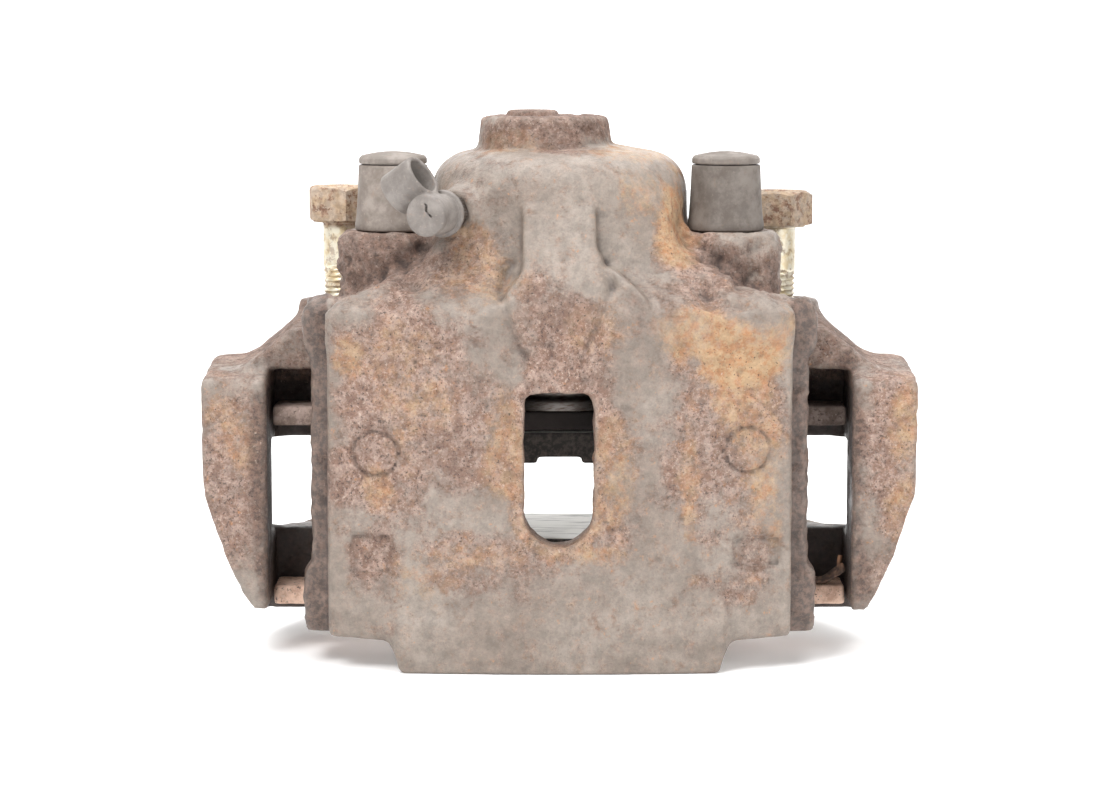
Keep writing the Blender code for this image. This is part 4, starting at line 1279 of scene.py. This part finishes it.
def pale_floor():
    """A wide white floor, and a bright white wall well behind the object."""
    half, near, far, height = 5.0, -4.0, 2.6, 3.6
    for name, corners, glow in (
        ("studio_floor", [(-half, near, 0), (half, near, 0), (half, far, 0), (-half, far, 0)], 0.12),
        ("studio_wall", [(-half, far, 0), (half, far, 0), (half, far, height), (-half, far, height)],
         1.0),
    ):
        data = bpy.data.meshes.new(name)
        data.from_pydata(corners, [], [(0, 1, 2, 3)])
        n = Nodes(name, 0.5)
        n.finish((0.92, 0.92, 0.92), n.ramp(n.noise(60.0, 2.0), 0.3, 0.7, 0.4, 0.55))
        n.shader.inputs["Emission Color"].default_value = (1, 1, 1, 1)
        n.shader.inputs["Emission Strength"].default_value = glow
        data.materials.append(n.material)
        linked(name, data)


def point_at(thing, place, target):
    thing.location = place
    thing.rotation_euler = (target - place).to_track_quat("-Z", "Y").to_euler()


def area_light(name, place, target, size, power):
    lamp = bpy.data.lights.new(name, "AREA")
    lamp.shape = "SQUARE"
    lamp.size = size
    lamp.energy = power
    point_at(linked(name, lamp), Vector(place), Vector(target))


def studio():
    pale_floor()
    world = bpy.data.worlds.new("studio")
    bpy.context.scene.world = world
    world.use_nodes = True
    back = world.node_tree.nodes["Background"]
    back.inputs["Color"].default_value = (1, 1, 1, 1)
    back.inputs["Strength"].default_value = 0.42
    area_light("key", (-0.45, -0.75, 0.95), (0, 0, 0.09), 0.5, 13.0)
    area_light("top", (0.0, 0.1, 1.3), (0, 0, 0.1), 1.4, 23.0)
    area_light("fill", (0.85, -0.85, 0.5), (0, 0, 0.09), 0.5, 6.0)
    scene = bpy.context.scene
    scene.view_settings.view_transform = "Standard"
    scene.view_settings.look = "None"


def camera():
    """Straight on to the bridge, a little above it, as far off as a short telephoto stands."""
    data = bpy.data.cameras.new("camera")
    data.lens = 108.1
    data.sensor_width = 36.0
    thing = linked("camera", data)
    point_at(thing, Vector((-0.0027, -0.948, 0.180)), Vector((-0.0027, -0.048, 0.0766)))
    bpy.context.scene.camera = thing


# Pieces


def make_castings():
    iron = rusty_iron("rusty_cast_iron")
    field_object("housing_casting", housing_field, 1.01, iron, "housing", "caliper_housing",
                 housing_roughness, housing_paint)
    field_object("carrier_casting", carrier_field, 1.05, iron, "carrier", "carrier_bracket",
                 carrier_roughness, carrier_paint)


def make_pads():
    lining = lining_material()
    plates = {
        # The last number darkens the right-hand ears as painted shade
        "inner": rust_plate_material("dark_backing_plate", (0.36, 0.27, 0.23), (0.19, 0.135, 0.11), 0.5),
        "outer": rust_plate_material("pink_backing_plate", (0.78, 0.55, 0.43), (0.54, 0.34, 0.25), 1.0),
    }
    for which, body in (("inner", "piston"), ("outer", "outer_pad")):
        node = f"{which}_pad_plate"
        low, high = cad(node)
        field_object(f"{which}_backing_plate", plate_field(low[2], high[2]), 0.8, plates[which],
                     body, node, crumbly)
        node = f"{which}_pad_friction"
        low, high = cad(node)
        field_object(f"{which}_lining", lining_field(low[2], high[2], which == "inner"), 0.8,
                     lining, body, node, worn_lining)


def make_guides():
    # The last numbers darken the right-hand bush and cap as painted shade
    rubber = rubber_material("dusty_bush_rubber", (0.165, 0.135, 0.114), (0.275, 0.236, 0.206), 0.3, 0.60)
    plastic = rubber_material("dusty_cap_plastic", (0.165, 0.140, 0.120), (0.265, 0.232, 0.206), 0.9, 0.9)
    for side, sign in SIDES:
        place = on_side(sign, GUIDE)
        turned_object(f"bush_{side}", bush_profile(), rubber, "housing", f"guide_bush_{side}",
                      at=place)
        turned_object(f"dust_cap_{side}", cap_profile(), plastic, f"bush_cap_{side}",
                      f"bush_cap_{side}", at=place)
    return rubber


def main():
    studio()
    camera()
    steel = steel_material("dulled_steel", (0.17, 0.155, 0.145), (0.10, 0.07, 0.055), 0.8)
    make_castings()
    make_pads()
    rubber = make_guides()
    make_bolts(zinc_material())
    cap_rubber = rubber_material("grey_cap_rubber", (0.150, 0.131, 0.118), (0.232, 0.208, 0.190), 1.7)
    field_object("bleed_dust_cap", bleed_cap_field, 0.33, cap_rubber, "bleed_cap", "bleed_cap",
                 margin=2.0)
    make_bore_parts(steel, rubber)
    dress("inner_pad_clip", steel)
    make_spring(spring_material())


def dress(node, material):
    """Gives a CAD node that stays its finished material."""
    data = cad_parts[node].data
    data.materials.clear()
    data.materials.append(material)


main()
